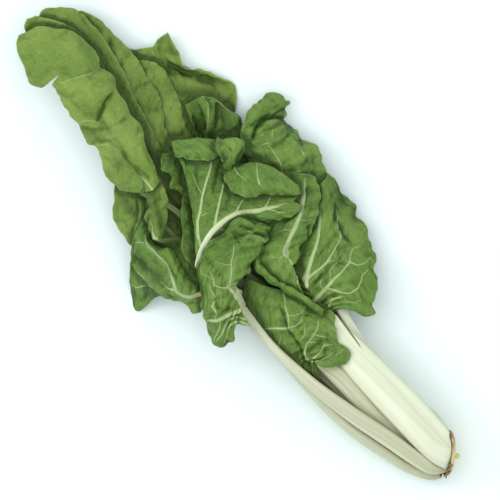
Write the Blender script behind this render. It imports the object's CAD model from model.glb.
"""A head of white-stemmed chard, cut at the base and lying on its side."""

import math

import bpy
import numpy as np
from mathutils import Matrix


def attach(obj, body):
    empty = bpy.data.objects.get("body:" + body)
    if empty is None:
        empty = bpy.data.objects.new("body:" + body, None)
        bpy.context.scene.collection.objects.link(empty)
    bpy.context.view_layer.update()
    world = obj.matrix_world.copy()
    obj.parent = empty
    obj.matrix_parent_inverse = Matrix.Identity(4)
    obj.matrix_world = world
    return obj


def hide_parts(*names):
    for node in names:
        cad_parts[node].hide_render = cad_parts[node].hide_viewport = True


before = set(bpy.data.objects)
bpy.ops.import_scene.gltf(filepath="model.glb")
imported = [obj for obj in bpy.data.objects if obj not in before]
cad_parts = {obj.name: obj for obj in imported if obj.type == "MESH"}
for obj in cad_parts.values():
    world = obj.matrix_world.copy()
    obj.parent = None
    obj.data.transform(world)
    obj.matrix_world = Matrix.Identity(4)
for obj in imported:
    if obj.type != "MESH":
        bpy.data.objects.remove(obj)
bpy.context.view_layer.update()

# ---- The board, the light and the camera ---------------------------------------------------------
# The bunch lies on a plain white board under wide, soft lamps, and is seen from straight above with
# the cut base at the lower right and the tips at the upper left.

VIEW_WIDTH = 0.425
VIEW_DISTANCE = 20.0
VIEW_MIDDLE = (-0.0079, 0.0051, 0.0)
SENSOR = 36.0
BOARD_REACH = 3.0
BOARD_COLOUR = (0.86, 0.98, 0.98, 1)
ROOM_GLOW = 0.815

# Each lamp's place, the side of its square and its power in watts.
LAMPS = {
    "overhead_lamp": ((0.2, 0.12, 1.7), 1.5, 9.8),
    "side_lamp": ((0.85, 0.6, 1.0), 0.5, 4.6),
    "right_lamp": ((-0.75, -0.75, 0.8), 0.8, 1.1),
}

view_camera = bpy.data.cameras.new("view_camera")
view_camera.sensor_width = SENSOR
view_camera.lens = SENSOR * VIEW_DISTANCE / VIEW_WIDTH
view_camera.clip_end = 5 * VIEW_DISTANCE
camera = bpy.data.objects.new("camera", view_camera)
half = math.sqrt(0.5)
camera.matrix_world = Matrix((
    (-half, half, 0, VIEW_MIDDLE[0]),
    (-half, -half, 0, VIEW_MIDDLE[1]),
    (0, 0, 1, VIEW_DISTANCE),
    (0, 0, 0, 1),
))
bpy.context.collection.objects.link(camera)
scene = bpy.context.scene
scene.camera = camera
scene.view_settings.view_transform = "Standard"


def adder(tree):
    """A function that adds a node with its settings to a tree."""

    def add(kind, **settings):
        node = tree.nodes.new(kind)
        for key, value in settings.items():
            if key in node.inputs:
                node.inputs[key].default_value = value
            else:
                setattr(node, key, value)
        return node

    return add


def new_material(name, surface):
    """A material with what is the same all over it, and with functions that add a node and a link."""
    made = bpy.data.materials.new(name)
    made.use_nodes = True
    tree = made.node_tree
    shader = tree.nodes["Principled BSDF"]
    for key, value in surface.items():
        shader.inputs[key].default_value = value
    return made, shader, adder(tree), tree.links.new


def board():
    surface = {"Base Color": BOARD_COLOUR, "Roughness": 0.9, "Specular IOR Level": 0.1}
    made, shader, add, link = new_material("white_board", surface)
    reach = BOARD_REACH
    corners = [(-reach, -reach, 0), (reach, -reach, 0), (reach, reach, 0), (-reach, reach, 0)]
    mesh = bpy.data.meshes.new("board")
    mesh.from_pydata(corners, [], [(0, 1, 2, 3)])
    mesh.materials.append(made)
    piece = bpy.data.objects.new("board", mesh)
    bpy.context.collection.objects.link(piece)


board()

world = bpy.data.worlds.new("soft_room")
world.use_nodes = True
world.node_tree.nodes["Background"].inputs["Color"].default_value = (1.0, 1.0, 1.0, 1)
world.node_tree.nodes["Background"].inputs["Strength"].default_value = ROOM_GLOW
scene.world = world

for name, (place, size, power) in LAMPS.items():
    data = bpy.data.lights.new(name, "AREA")
    data.shape = "SQUARE"
    data.size = size
    data.energy = power
    lamp = bpy.data.objects.new(name, data)
    lamp.location = place
    lamp.rotation_euler = (-lamp.location).to_track_quat("-Z", "Y").to_euler()
    bpy.context.collection.objects.link(lamp)

# ---- The low leaf at the back --------------------------------------------------------------------
# A leaf is one thick petiole that runs on as the midrib, with a thin crinkled blade on both sides of
# it. The lowest grows from the underside of the crown and lies on the board. Key points are in
# millimetres from the cut base: x to the tips, y to the left and z up.

LENGTH = 529.0
MM = 0.001
BLADE_THICK = 0.6
FRILL_DEPTH = 9.0


def spline(keys, at):
    """Points on the smooth curve through keys that are one apart."""
    keys = np.asarray(keys, float)
    at = np.asarray(at, float)
    last = len(keys) - 1
    i = np.clip(np.floor(at).astype(int), 0, last - 1)
    tail = (1,) * (keys.ndim - 1)
    f = (at - i).reshape((-1,) + tail)
    a, b, c, d = (keys[np.clip(i + k, 0, last)] for k in (-1, 0, 1, 2))
    rise = c - b
    before = np.where((i > 0).reshape((-1,) + tail), (c - a) / 2, rise)
    after = np.where((i + 2 <= last).reshape((-1,) + tail), (d - b) / 2, rise)
    return b + f * (before + f * (3 * rise - 2 * before - after + f * (before + after - 2 * rise)))


def unit(v):
    return v / np.maximum(np.linalg.norm(v, axis=-1, keepdims=True), 1e-9)


def smooth(low, high, x):
    t = np.clip((x - low) / (high - low), 0, 1)
    return t * t * (3 - 2 * t)


def hashed(i, j, salt):
    """A steady random number from 0 to 1 for each pair of whole numbers."""
    x = np.sin(i * 127.1 + j * 311.7 + salt * 74.7) * 43758.5453
    return x - np.floor(x)


def cells(u, v, size, salt):
    """Distance to the nearest of a jittered lattice of points, in sizes."""
    u, v = u / size, v / size
    iu, iv = np.floor(u), np.floor(v)
    near = np.full(u.shape, 9.0)
    for di in (-1, 0, 1):
        for dj in (-1, 0, 1):
            pu = iu + di + 0.15 + 0.7 * hashed(iu + di, iv + dj, salt)
            pv = iv + dj + 0.15 + 0.7 * hashed(iu + di, iv + dj, salt + 5)
            d = np.hypot(pu - u, pv - v)
            near = np.minimum(near, d)
    return near


def wander(u, v, size, salt):
    """Smooth noise from -1 to 1 with lumps of the given size."""
    u, v = u / size, v / size
    iu, iv = np.floor(u), np.floor(v)
    fu, fv = smooth(0, 1, u - iu), smooth(0, 1, v - iv)
    corner = [[hashed(iu + di, iv + dj, salt) for dj in (0, 1)] for di in (0, 1)]
    low = corner[0][0] * (1 - fv) + corner[0][1] * fv
    high = corner[1][0] * (1 - fv) + corner[1][1] * fv
    return 2 * (low * (1 - fu) + high * fu) - 1


def grid_normals(grid):
    """Normals of a grid of points, up where its columns run from left to right."""
    down = np.gradient(grid, axis=0)
    across = np.gradient(grid, axis=1)
    return unit(np.cross(across, down))


def line_distance(points, line):
    """How far each point lies to the left of a line of [x, y] points in plan, and how far along it."""
    best = np.full(len(points), 1e9)
    along = np.zeros(len(points))
    line = np.asarray(line, float)
    for k, (a, b) in enumerate(zip(line[:-1], line[1:])):
        step = b - a
        t = np.clip(((points - a) @ step) / (step @ step), 0, 1)
        aside = points - a - t[:, None] * step
        turn = np.where(step[0] * aside[:, 1] < step[1] * aside[:, 0], -1, 1)
        d = np.hypot(*aside.T) * turn
        closer = np.abs(d) < np.abs(best)
        best[closer] = d[closer]
        along[closer] = (k + t[closer]) / (len(line) - 1)
    return best, along


# A thin line stays sharp between the vertices when they hold how far they lie to its left and its
# half width. Lines that meet go to different sets, since a vertex can lie left of one of them only.
LINE_SETS = 3
MEETING = 4.0


def line_sets(lines):
    """The set of each line, with lines that meet in different sets."""
    chosen = []
    for n, (wide, thin, line, *span) in enumerate(lines):
        line = np.asarray(line, float)
        at = np.linspace(0, len(line) - 1, 8 * len(line))
        dense = np.stack([np.interp(at, np.arange(len(line)), line[:, k]) for k in (0, 1)], axis=1)
        taken = [chosen[m] for m in range(n) if np.abs(line_distance(dense, lines[m][2])[0]).min() < MEETING]
        chosen.append(next((kind for kind in range(LINE_SETS) if kind not in taken), n % LINE_SETS))
    return chosen


def drawn_lines(points, lines, pitch, signed=None):
    """What the vertices hold of each set of lines: the way to the line and its half width."""
    aside = np.full((len(points), LINE_SETS), 9.0)
    reach = np.zeros((len(points), LINE_SETS))
    for kind, (wide, thin, line, *span) in zip(line_sets(lines), lines):
        d, along = line_distance(points, line)
        half = wide + (thin - wide) * along
        near = half * (1 - smooth(1.3 * pitch, 2.4 * pitch, np.abs(d) - half)) * on_span(signed, span)
        closer = np.abs(d) < np.abs(aside[:, kind])
        aside[closer, kind] = d[closer]
        reach[closer, kind] = near[closer]
    return aside, reach


def rib_shown(leaf, row):
    """0 where the midrib lies hidden within the folded blade, between its base and rib_from."""
    if not leaf["rib_from"]:
        return np.ones(np.shape(row))
    return np.maximum(smooth(leaf["rib_from"] - 1, leaf["rib_from"], row), smooth(0.9, 0, row))


def rib_half_width(leaf, row):
    wide, narrow = leaf["rib"]
    share = np.clip(row / leaf["rib_rows"], 0, 1)
    return (wide + (narrow - wide) * share**0.7) / 2 * (0.15 + 0.85 * rib_shown(leaf, row))


def on_span(signed, span):
    """1 where a share lies within the span that a vein or a fold is kept to."""
    if not span:
        return 1
    low, high = span[0]
    return (signed >= low) & (signed <= high)


def blade_grid(leaf):
    """The blade's smooth grid, from its left margin over the midrib to its right margin, and where in
    the leaf each of its points lies."""
    rows = np.asarray(leaf["rows"], float)
    count, columns = rows.shape[:2]
    mid = leaf["mid"]
    row_step = np.linalg.norm(np.diff(rows, axis=0), axis=2).mean()
    column_step = np.linalg.norm(np.diff(rows, axis=1), axis=2).mean()
    per_row = max(2, round(row_step / leaf["pitch"]))
    per_column = max(2, round(column_step / leaf["pitch"]))
    r = np.arange((count - 1) * per_row + 1) / per_row
    fine_rows = spline(rows, r)
    left = spline(fine_rows[:, mid::-1].transpose(1, 0, 2), np.arange(mid * per_column + 1) / per_column)
    right_count = (columns - 1 - mid) * per_column
    right = spline(fine_rows[:, mid:].transpose(1, 0, 2), np.arange(right_count + 1) / per_column)
    grid = np.concatenate([left[::-1], right[1:]]).transpose(1, 0, 2)
    centre = mid * per_column
    j = np.arange(grid.shape[1])
    share = np.where(j <= centre, (centre - j) / centre, (j - centre) / max(right_count, 1))
    row, share = np.meshgrid(r, share, indexing="ij")
    side = np.broadcast_to(np.where(j <= centre, 1, -1), row.shape)

    steps = np.linalg.norm(np.diff(grid, axis=1), axis=2)
    across = np.concatenate([np.zeros((len(r), 1)), np.cumsum(steps, axis=1)], axis=1)
    across = across - across[:, centre : centre + 1]
    lengths = np.linalg.norm(np.diff(grid, axis=0), axis=2)
    down = np.concatenate([np.zeros((1, grid.shape[1])), np.cumsum(lengths, axis=0)], axis=0)
    half = np.abs(np.where(side > 0, across[:, :1], across[:, -1:]))
    edge = np.clip(np.minimum(half - np.abs(across), down[-1:] - down), 0, 20)
    leaf.update(r=r, centre=centre, per_row=per_row, last_row=count - 1)
    return grid, {
        "row": row,
        "share": share,
        "side": side,
        "across": across,
        "down": down,
        "edge": edge,
        "ends": np.minimum(row, count - 1 - row),
    }


def midrib_line(leaf, at):
    """How far each point lies beside the midrib, and how strongly the midrib shows there. It goes on
    past its raised part as a line that thins towards the tip."""
    row = at["row"]
    last = leaf["last_row"]
    half_width = np.maximum(rib_half_width(leaf, row), 0.35 + 0.5 * (1 - row / last))
    beside = np.abs(at["across"]) - half_width
    glow = np.exp(-((np.maximum(beside, 0) / 1.1) ** 2))
    fade = smooth(last, leaf["rib_rows"], row) * 0.8 + 0.2
    fade = fade * rib_shown(leaf, row)
    return beside, glow * fade * leaf["midrib"]


def drawn_details(leaf, grid, at):
    """The veins, folds and shades that are drawn one by one, each along a line in plan. One may be
    kept to a span of the way from the midrib to the margins, with the left margin positive."""
    flat = grid.reshape(-1, 3)
    shape = grid.shape[:2]
    signed = (at["share"] * at["side"]).reshape(-1)
    halo = np.zeros(len(flat))
    ridge = np.zeros(len(flat))
    for width, thin, line, *span in leaf["veins"]:
        d, along = line_distance(flat[:, :2], line)
        w = width + (thin - width) * along
        profile = np.exp(-((d / (1.1 * w + 0.35)) ** 2)) * on_span(signed, span)
        halo = np.maximum(halo, 0.34 * profile)
        ridge = np.maximum(ridge, w * profile)
    fold = np.zeros(len(flat))
    for height, breadth, line, *span in leaf["folds"]:
        d, along = line_distance(flat[:, :2], line)
        ends_off = smooth(0, 0.12, along) * smooth(1, 0.88, along) * 0.6 + 0.4
        crease = np.exp(0.2 - 1.25 * np.sqrt((d / breadth) ** 2 + 0.025))
        fold += height * crease * ends_off * on_span(signed, span)
    dim = np.zeros(len(flat))
    for strength, breadth, line, *span in leaf["shades"]:
        d, along = line_distance(flat[:, :2], line)
        dim = np.maximum(dim, strength * np.exp(-((d / breadth) ** 2)) * on_span(signed, span))
    aside, reach = drawn_lines(flat[:, :2], leaf["veins"], leaf["pitch"], signed)
    return {
        "halo": halo.reshape(shape),
        "ridge": ridge.reshape(shape),
        "fold": fold.reshape(shape),
        "dim": dim.reshape(shape),
        "aside": aside.reshape(*shape, LINE_SETS),
        "reach": reach.reshape(*shape, LINE_SETS),
    }


def crinkled(leaf, at, vein, drawn, beside_rib):
    """How far each point stands off the smooth grid, and how far a blister lifts it. Blisters fill the
    net between the veins, and are largest in the middle of each half."""
    row, share, side, across, down, edge, ends = at.values()
    salt = leaf["salt"]
    fade = np.minimum(1, ends)
    fade_fast = np.minimum(1, ends * 2)
    lift = leaf["pleat"] * np.sin(np.pi * np.sqrt(share)) * np.cos(2 * np.pi * row)
    phase = np.where(side > 0, 0, 1.7)
    lift += leaf["ruffle"] * share**3 * np.sin(2 * np.pi * leaf["waves"] * row / leaf["last_row"] + phase)
    relief = lift * fade * side
    relief += drawn["fold"] * fade

    near = cells(across, down, leaf["blister"], salt)
    near_small = cells(across, down, leaf["blister"] * 0.45, salt + 9)
    dome = smooth(0.75, 0.0, near) - 0.35
    dome_small = smooth(0.7, 0.0, near_small) - 0.35
    open_field = (1 - np.minimum(1, 1.3 * vein)) * fade_fast
    field = np.sin(np.pi * np.clip(share, 0.04, 0.9) ** 0.8) ** 0.5
    relief += leaf["puff"] * (dome + 0.35 * dome_small) * open_field * field
    relief += leaf["sway"] * wander(across, down, 21.0, salt + 3) * share * fade
    relief += 0.6 * leaf["sway"] * wander(across, down, 10.0, salt + 4) * fade * field
    puckered = np.abs(wander(across * 0.8, down, leaf["pucker_size"], salt + 5)) - 0.3
    relief += leaf["puckers"] * puckered * fade * field
    relief += 0.75 * leaf["ridge"] * vein * fade_fast
    relief += 0.35 * drawn["ridge"]

    frill = np.sin(2 * np.pi * down / leaf["frill_pitch"] + 2.2 * wander(across, down, 17.0, salt + 7))
    relief += leaf["rolled"] * smooth(6.0, 0.0, edge) * np.minimum(1, row)
    relief += leaf["frill"] * frill * smooth(FRILL_DEPTH, 0.0, edge) * np.minimum(1, ends * 1.5)

    # Close to the raised midrib the blade lies still.
    raised = smooth(leaf["rib_rows"] + 1, leaf["rib_rows"], row)
    by_rib = smooth(2.5, 0.0, beside_rib) * rib_shown(leaf, row) * raised
    return relief * (1 - 0.85 * by_rib), (dome + 0.5 * dome_small) * open_field


def nibbled(leaf, grid, at):
    """How far each point of the margins is drawn in, with the notches that are drawn one by one."""
    down, side, edge = at["down"], at["side"], at["edge"]
    salt = leaf["salt"]
    nibble = 0.5 * wander(down, side * 40.0, 3.1, salt + 11)
    nibble = nibble + 1.2 * wander(down, side * 40.0, 7.5, salt + 12)
    pull = leaf["nibble"] * nibble * smooth(5.0, 0.0, edge)
    for depth, breadth, *spot in leaf["notches"]:
        away = np.linalg.norm(grid[..., :2] - spot, axis=2)
        pull = pull - depth * np.exp(-((away / breadth) ** 2)) * smooth(13.0, 0.0, edge)
    return pull


def kept_cells(leaf, grid):
    """Which cells of the grid the blade fills: not those below its shoulders, nor those in a tear."""
    r, centre = leaf["r"], leaf["centre"]
    keep = np.ones((grid.shape[0] - 1, grid.shape[1] - 1), bool)
    row_of = (r[:-1] + r[1:]) / 2
    left_cell = np.arange(grid.shape[1] - 1) + 0.5 < centre
    keep[np.ix_(row_of < leaf["left_from"], left_cell)] = False
    keep[np.ix_(row_of < leaf["right_from"], ~left_cell)] = False
    middle = (grid[:-1, :-1] + grid[1:, 1:]) / 2
    for width, line in leaf["tears"]:
        d, along = line_distance(middle[..., :2].reshape(-1, 2), line)
        keep &= ~((np.abs(d) < width * along) & (along > 0)).reshape(keep.shape)
    return keep


def blade_surface(leaf):
    """The blade's grid of points, the cells that it fills, its attributes and its map."""
    grid, at = blade_grid(leaf)
    beside_rib, vein = midrib_line(leaf, at)
    drawn = drawn_details(leaf, grid, at)
    vein = np.maximum(vein, drawn["halo"])
    relief, blisters = crinkled(leaf, at, vein, drawn, beside_rib)
    points = grid + grid_normals(grid) * relief[..., None]
    outward = unit(np.gradient(grid, axis=1)) * np.where(at["side"] > 0, -1, 1)[..., None]
    points += outward * nibbled(leaf, grid, at)[..., None]
    attributes = {
        "vein": np.clip(vein, 0, 1),
        "dome": np.clip(blisters * 0.7 + 0.35 * drawn["fold"], -1.2, 1.2),
        "dim": drawn["dim"],
        "edge": at["edge"],
        "aside": drawn["aside"],
        "reach": drawn["reach"],
    }
    return points, kept_cells(leaf, grid), attributes, np.stack([at["across"], at["down"]], axis=-1)


def solid_sheet(points, keep, thickness):
    """Quads of a closed thin body round the kept cells of a grid, and the grid index of each vertex."""
    rows, columns = points.shape[:2]
    normals = grid_normals(points)
    ids = np.arange(rows * columns).reshape(rows, columns)
    total = rows * columns
    a, b, c, d = (ids[:-1, :-1], ids[:-1, 1:], ids[1:, 1:], ids[1:, :-1])
    top = np.stack([a, b, c, d], axis=-1)[keep]
    bottom = np.stack([a, d, c, b], axis=-1)[keep] + total
    walls = []
    padded = np.pad(keep, 1)
    for step, first, second in (
        ((0, 1), b, a),
        ((2, 1), d, c),
        ((1, 0), a, d),
        ((1, 2), c, b),
    ):
        beside = padded[step[0] : step[0] + keep.shape[0], step[1] : step[1] + keep.shape[1]]
        edge = keep & ~beside
        p, q = first[edge], second[edge]
        walls.append(np.stack([p, q, q + total, p + total], axis=-1))
    flat, up = points.reshape(-1, 3), normals.reshape(-1, 3)
    both = np.concatenate([flat + up * thickness / 2, flat - up * thickness / 2])
    quads = np.concatenate([top, bottom, *walls])
    used, faces = np.unique(quads, return_inverse=True)
    return both[used], faces.reshape(-1, 4), used % total


def mesh_piece(name, vertices, faces, attributes, uv, material):
    """A smooth-shaded object from vertices in millimetres, with its attributes and its own map."""
    mesh = bpy.data.meshes.new(name)
    placed = (vertices - (LENGTH / 2, 0, 0)) * MM
    corners = np.concatenate([f.ravel() for f in faces]).astype(np.int32)
    sizes = np.concatenate([np.full(len(f), f.shape[1]) for f in faces])
    starts = np.concatenate([[0], np.cumsum(sizes)[:-1]]).astype(np.int32)
    mesh.vertices.add(len(placed))
    mesh.vertices.foreach_set("co", placed.astype(np.float32).ravel())
    mesh.loops.add(len(corners))
    mesh.loops.foreach_set("vertex_index", corners)
    mesh.polygons.add(len(sizes))
    mesh.polygons.foreach_set("loop_start", starts)
    mesh.polygons.foreach_set("use_smooth", np.ones(len(sizes), bool))
    mesh.update(calc_edges=True)
    for key, values in attributes.items():
        kind, entry = ("FLOAT", "value") if values.ndim == 1 else ("FLOAT_VECTOR", "vector")
        layer = mesh.attributes.new(key, kind, "POINT")
        layer.data.foreach_set(entry, values.astype(np.float32).ravel())
    layer = mesh.uv_layers.new(name="surface")
    layer.data.foreach_set("uv", (uv[corners] * MM).astype(np.float32).ravel())
    mesh.materials.append(material)
    piece = bpy.data.objects.new(name, mesh)
    bpy.context.collection.objects.link(piece)
    return piece


# Heights are kept on a grid over the plan, so that each leaf settles on what lies below it.
CELL = 1.5
FIELD_CORNER = (-10.0, -124.0)
FIELD_SHAPE = (370, 166)
CLEARANCE = 0.35
LIFT_SLOPE = 0.7


def cell_of(points):
    """The cell of the grid of heights that each point stands in."""
    index = ((points[:, :2] - FIELD_CORNER) / CELL).astype(int)
    return np.clip(index[:, 0], 0, FIELD_SHAPE[0] - 1), np.clip(index[:, 1], 0, FIELD_SHAPE[1] - 1)


def running_fall(field, fall):
    """Along the last axis: the greatest of each value and those before it less the fall."""
    slope = np.arange(field.shape[-1]) * fall
    return np.maximum.accumulate(field + slope, axis=-1) - slope


def sloped(need):
    """The lowest field above the need that falls away no faster than the slope."""
    field = need.copy()
    fall = LIFT_SLOPE * CELL
    for _ in range(2):
        for flip in (1, -1):
            view = field[::flip]
            for k in range(1, len(view)):
                back = view[k - 1]
                side = np.maximum(np.roll(back, 1), np.roll(back, -1)) - fall * 1.414
                view[k] = np.maximum(view[k], np.maximum(back - fall, side))
                view[k] = np.maximum(running_fall(view[k], fall), running_fall(view[k][::-1], fall)[::-1])
    return field


def blurred(field, passes):
    """The field with each value shared out among its neighbours, once for each pass."""
    for _ in range(passes):
        for axis in (0, 1):
            field = (np.roll(field, 1, axis) + field + np.roll(field, -1, axis)) / 3
    return field


def lift_field(top, bottom):
    """How far a leaf is lifted in each cell, so that its bottom clears the top of those below it."""
    need = np.maximum(0, top - bottom)
    lift = np.zeros(FIELD_SHAPE)
    for _ in range(6):
        short = np.maximum(0, need - lift)
        if short.max() < 0.02:
            break
        lift += blurred(sloped(short), 3) * 1.05
    return blurred(spread(lift, np.maximum), 2)


def read_field(field, points):
    """The field at each point, read smoothly between its cells."""
    at = (points[..., :2] - FIELD_CORNER) / CELL - 0.5
    i = np.clip(np.floor(at[..., 0]).astype(int), 0, FIELD_SHAPE[0] - 2)
    j = np.clip(np.floor(at[..., 1]).astype(int), 0, FIELD_SHAPE[1] - 2)
    f, g = at[..., 0] - i, at[..., 1] - j
    low = field[i, j] * (1 - g) + field[i, j + 1] * g
    high = field[i + 1, j] * (1 - g) + field[i + 1, j + 1] * g
    return low * (1 - f) + high * f


def lifted(points, lift):
    """Lifts the points in place, and keeps them above the board."""
    points[..., 2] = np.maximum(points[..., 2] + read_field(lift, points), 0.05)


def spread(field, pick):
    """Each cell's greatest or least value among its neighbours and itself."""
    for axis in (0, 1):
        field = pick(field, pick(np.roll(field, 1, axis), np.roll(field, -1, axis)))
    return field


settled = np.zeros(FIELD_SHAPE)

# A stem's stations are (x, y, z, width, thickness, roll): at roll 0 the round outer face is up, at 90
# it is to the left and at 180 down. Outer stems start on a ring round the cut crown.
CUP = 0.15
BACK_WIDTH = 0.84
RIB_SINK = 0.35
CROWN_CENTRE = np.array([17.0, 8.0, 22.0])
RING_RADIUS = 13.5
CROWN_TURN = -0.75
CROWN_LEAN = 0.22
cut_left = np.array([math.sin(CROWN_TURN), math.cos(CROWN_TURN), 0])
cut_level = np.array([math.cos(CROWN_TURN), -math.sin(CROWN_TURN), 0])
cut_up = np.array([0, 0, math.cos(CROWN_LEAN)]) - cut_level * math.sin(CROWN_LEAN)
cut_inward = np.cross(cut_left, cut_up)
NOSE_REACH = 16.0
NOSE_ROUND = 6.0
STEM_STEP = 3.0
SLIT_PITCH = 2.0


def stem_line(leaf, grid):
    """The middle line of a petiole and its midrib: where each section stands, which way it faces and
    how wide and thick it is."""
    stations = [list(s) for s in leaf["stem"]]
    on_crown = leaf["crown_angle"] is not None
    if on_crown:
        turn = math.radians(leaf["crown_angle"])
        crown_normal = cut_left * math.cos(turn) + cut_up * math.sin(turn)
        crown_side = -cut_left * math.sin(turn) + cut_up * math.cos(turn)
        centre = CROWN_CENTRE + crown_normal * RING_RADIUS + cut_inward * leaf["set_back"]
        stations.insert(0, [*centre, leaf["crown_width"], stations[0][4] * 0.8, stations[0][5]])
    midrib = grid[:, leaf["centre"]]
    rib_width = 2 * rib_half_width(leaf, 0)
    base_thick = min(4, rib_width * 0.6)
    stations.append([*midrib[0], rib_width, base_thick, stations[-1][5]])
    keys = np.array(stations, float)
    length = np.linalg.norm(np.diff(keys[:, :3], axis=0), axis=1)
    counts = [max(2, round(d / STEM_STEP)) for d in length]
    t = np.concatenate([np.arange(n) / n + k for k, n in enumerate(counts)])
    path = spline(keys, t)
    rib_rows = np.arange(int(leaf["rib_rows"] * leaf["per_row"]) + 1)
    rib_r = leaf["r"][rib_rows]
    fraction = rib_r / leaf["rib_rows"]
    centres = np.concatenate([path[:, :3], midrib[rib_rows]])
    width = np.concatenate([path[:, 3], 2 * rib_half_width(leaf, rib_r)])
    thick = np.concatenate([path[:, 4], base_thick + (1.6 - base_thick) * fraction])
    tangent = unit(np.gradient(centres, axis=0))
    roll = np.radians(path[:, 5])
    wanted = np.stack([np.zeros(len(roll)), np.sin(roll), np.cos(roll)], axis=1)
    surface = grid_normals(grid)[:, leaf["centre"]] * leaf["face"]
    blend = np.clip((t - (len(keys) - 3)) / 2, 0, 1)[:, None] ** 2
    wanted = np.concatenate([wanted * (1 - blend) + surface[0] * blend, surface[rib_rows]])
    normal = unit(wanted - tangent * np.sum(wanted * tangent, axis=1, keepdims=True))
    side = -np.cross(normal, tangent)
    if on_crown:
        ease = smooth(0, 1, t)[:, None]
        low = t[:, None] < 1
        n = len(t)
        normal[:n] = np.where(low, unit(crown_normal * (1 - ease) + normal[:n] * ease), normal[:n])
        side[:n] = np.where(low, unit(crown_side * (1 - ease) + side[:n] * ease), side[:n])
    # The rib sinks into the blade and tapers away at its end.
    end = np.concatenate([np.zeros(len(t)), smooth(0.55, 1.0, fraction)])
    end[len(t) :] = np.maximum(end[len(t) :], 1 - rib_shown(leaf, rib_r))
    on_rib = np.concatenate([blend[:, 0], np.ones(len(rib_r))])
    sink = on_rib * RIB_SINK * (0.4 + 0.6 * end)
    width = width * (1 - 0.6 * end)
    rise = (1 - 0.45 * on_rib) * (1 - 0.5 * end)
    centres = centres - normal * (sink * thick * 0.5)[:, None]
    green = np.concatenate([blend[:, 0] * 0.35, 0.35 + 0.65 * fraction])
    return centres, normal, side, width, thick, rise, green, len(t)


def stem_solid(leaf, grid):
    """Rings of points along a petiole and its midrib, with their attributes and their map."""
    centres, normal, side, width, thick, rise, green, rib_start = stem_line(leaf, grid)
    on_crown = leaf["crown_angle"] is not None
    outer_count, inner_count = leaf["sides"], leaf["sides"] // 2
    outer_angle = np.pi * np.arange(outer_count + 1) / outer_count
    inner_angle = np.pi * np.arange(inner_count, -1, -1) / inner_count
    distance = np.concatenate([[0], np.cumsum(np.linalg.norm(np.diff(centres, axis=0), axis=1))])
    outer = (thick / 2 + CUP * width) * rise
    inner = outer - thick * np.maximum(rise, 0.5)
    edge = np.minimum(0.3 * thick, 1)
    half = width[:, None] / 2
    across = half * np.cos(outer_angle)
    ribs = np.zeros(across.shape)
    for place, depth, breadth in leaf["grooves"]:
        ribs -= depth * np.exp(-(((across / half) - place) / breadth) ** 2)
    fibre = wander(across * 1.0, distance[:, None] / 14.0 + 0 * across, 1.7, leaf["salt"])
    swell = wander(across * 0.2, distance[:, None] / 3.0 + 0 * across, 5.0, leaf["salt"] + 2)
    ribs += leaf["fibre"] * fibre + 0.35 * swell * np.minimum(1, width[:, None] / 14)
    keep_edge = np.sin(outer_angle) ** 0.5
    lift_out = outer[:, None] * np.sin(outer_angle) ** 0.85 + ribs * keep_edge * rise[:, None]
    nose = smooth(NOSE_REACH, 0, distance) * on_crown
    round_over = 1 + 0 * distance
    if on_crown:
        round_over = np.sqrt(1 - np.clip(1 - distance / NOSE_ROUND, 0, 1) ** 2)
    lift_out = lift_out * (0.25 + 0.75 * round_over)[:, None]
    outside = centres[:, None] + side[:, None] * across[..., None] + normal[:, None] * lift_out[..., None]
    bulge = leaf["nose"] * nose[:, None] * (1 - (across / half) ** 2)
    outside = outside - cut_inward * bulge[..., None]
    back_across = BACK_WIDTH * width[:, None] / 2 * np.cos(inner_angle)
    back_rise = (inner + edge)[:, None] * np.sin(inner_angle) - edge[:, None]
    back = centres[:, None] + side[:, None] * back_across[..., None] + normal[:, None] * back_rise[..., None]
    rings = np.concatenate([outside, back], axis=1)
    u = np.concatenate([across, back_across], axis=1)
    v = np.repeat(distance[:, None], rings.shape[1], axis=1)
    rim = np.concatenate([np.abs(np.cos(outer_angle)) ** 6, np.ones(inner_count + 1) * 0.6])
    facing = np.arange(rings.shape[1]) <= outer_count
    dull = np.zeros(rings.shape[:2])
    for strength, fade_from, fade_to in leaf["dull"]:
        dull = np.maximum(dull, strength * smooth(fade_from, fade_to, rings[..., 0]))
    aside, reach = drawn_lines(rings.reshape(-1, 3)[:, :2], leaf["slits"], SLIT_PITCH)
    attributes = {
        "green": np.repeat(green[:, None], rings.shape[1], axis=1),
        "rim": np.repeat(rim[None], len(rings), axis=0),
        "base": np.repeat(smooth(40, 0, centres[:, 0])[:, None], rings.shape[1], axis=1),
        "dull": dull,
        "bleached": smooth(200, 120, rings[..., 0]) * (leaf["petiole"] == "inner"),
        "groove": np.concatenate([np.clip(-ribs, 0, 1), np.zeros(back_rise.shape)], axis=1),
        "aside": aside.reshape(*rings.shape[:2], LINE_SETS),
        "reach": reach.reshape(*rings.shape[:2], LINE_SETS) * facing[:, None],
    }
    return rings, attributes, np.stack([u, v], axis=-1), rib_start


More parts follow.
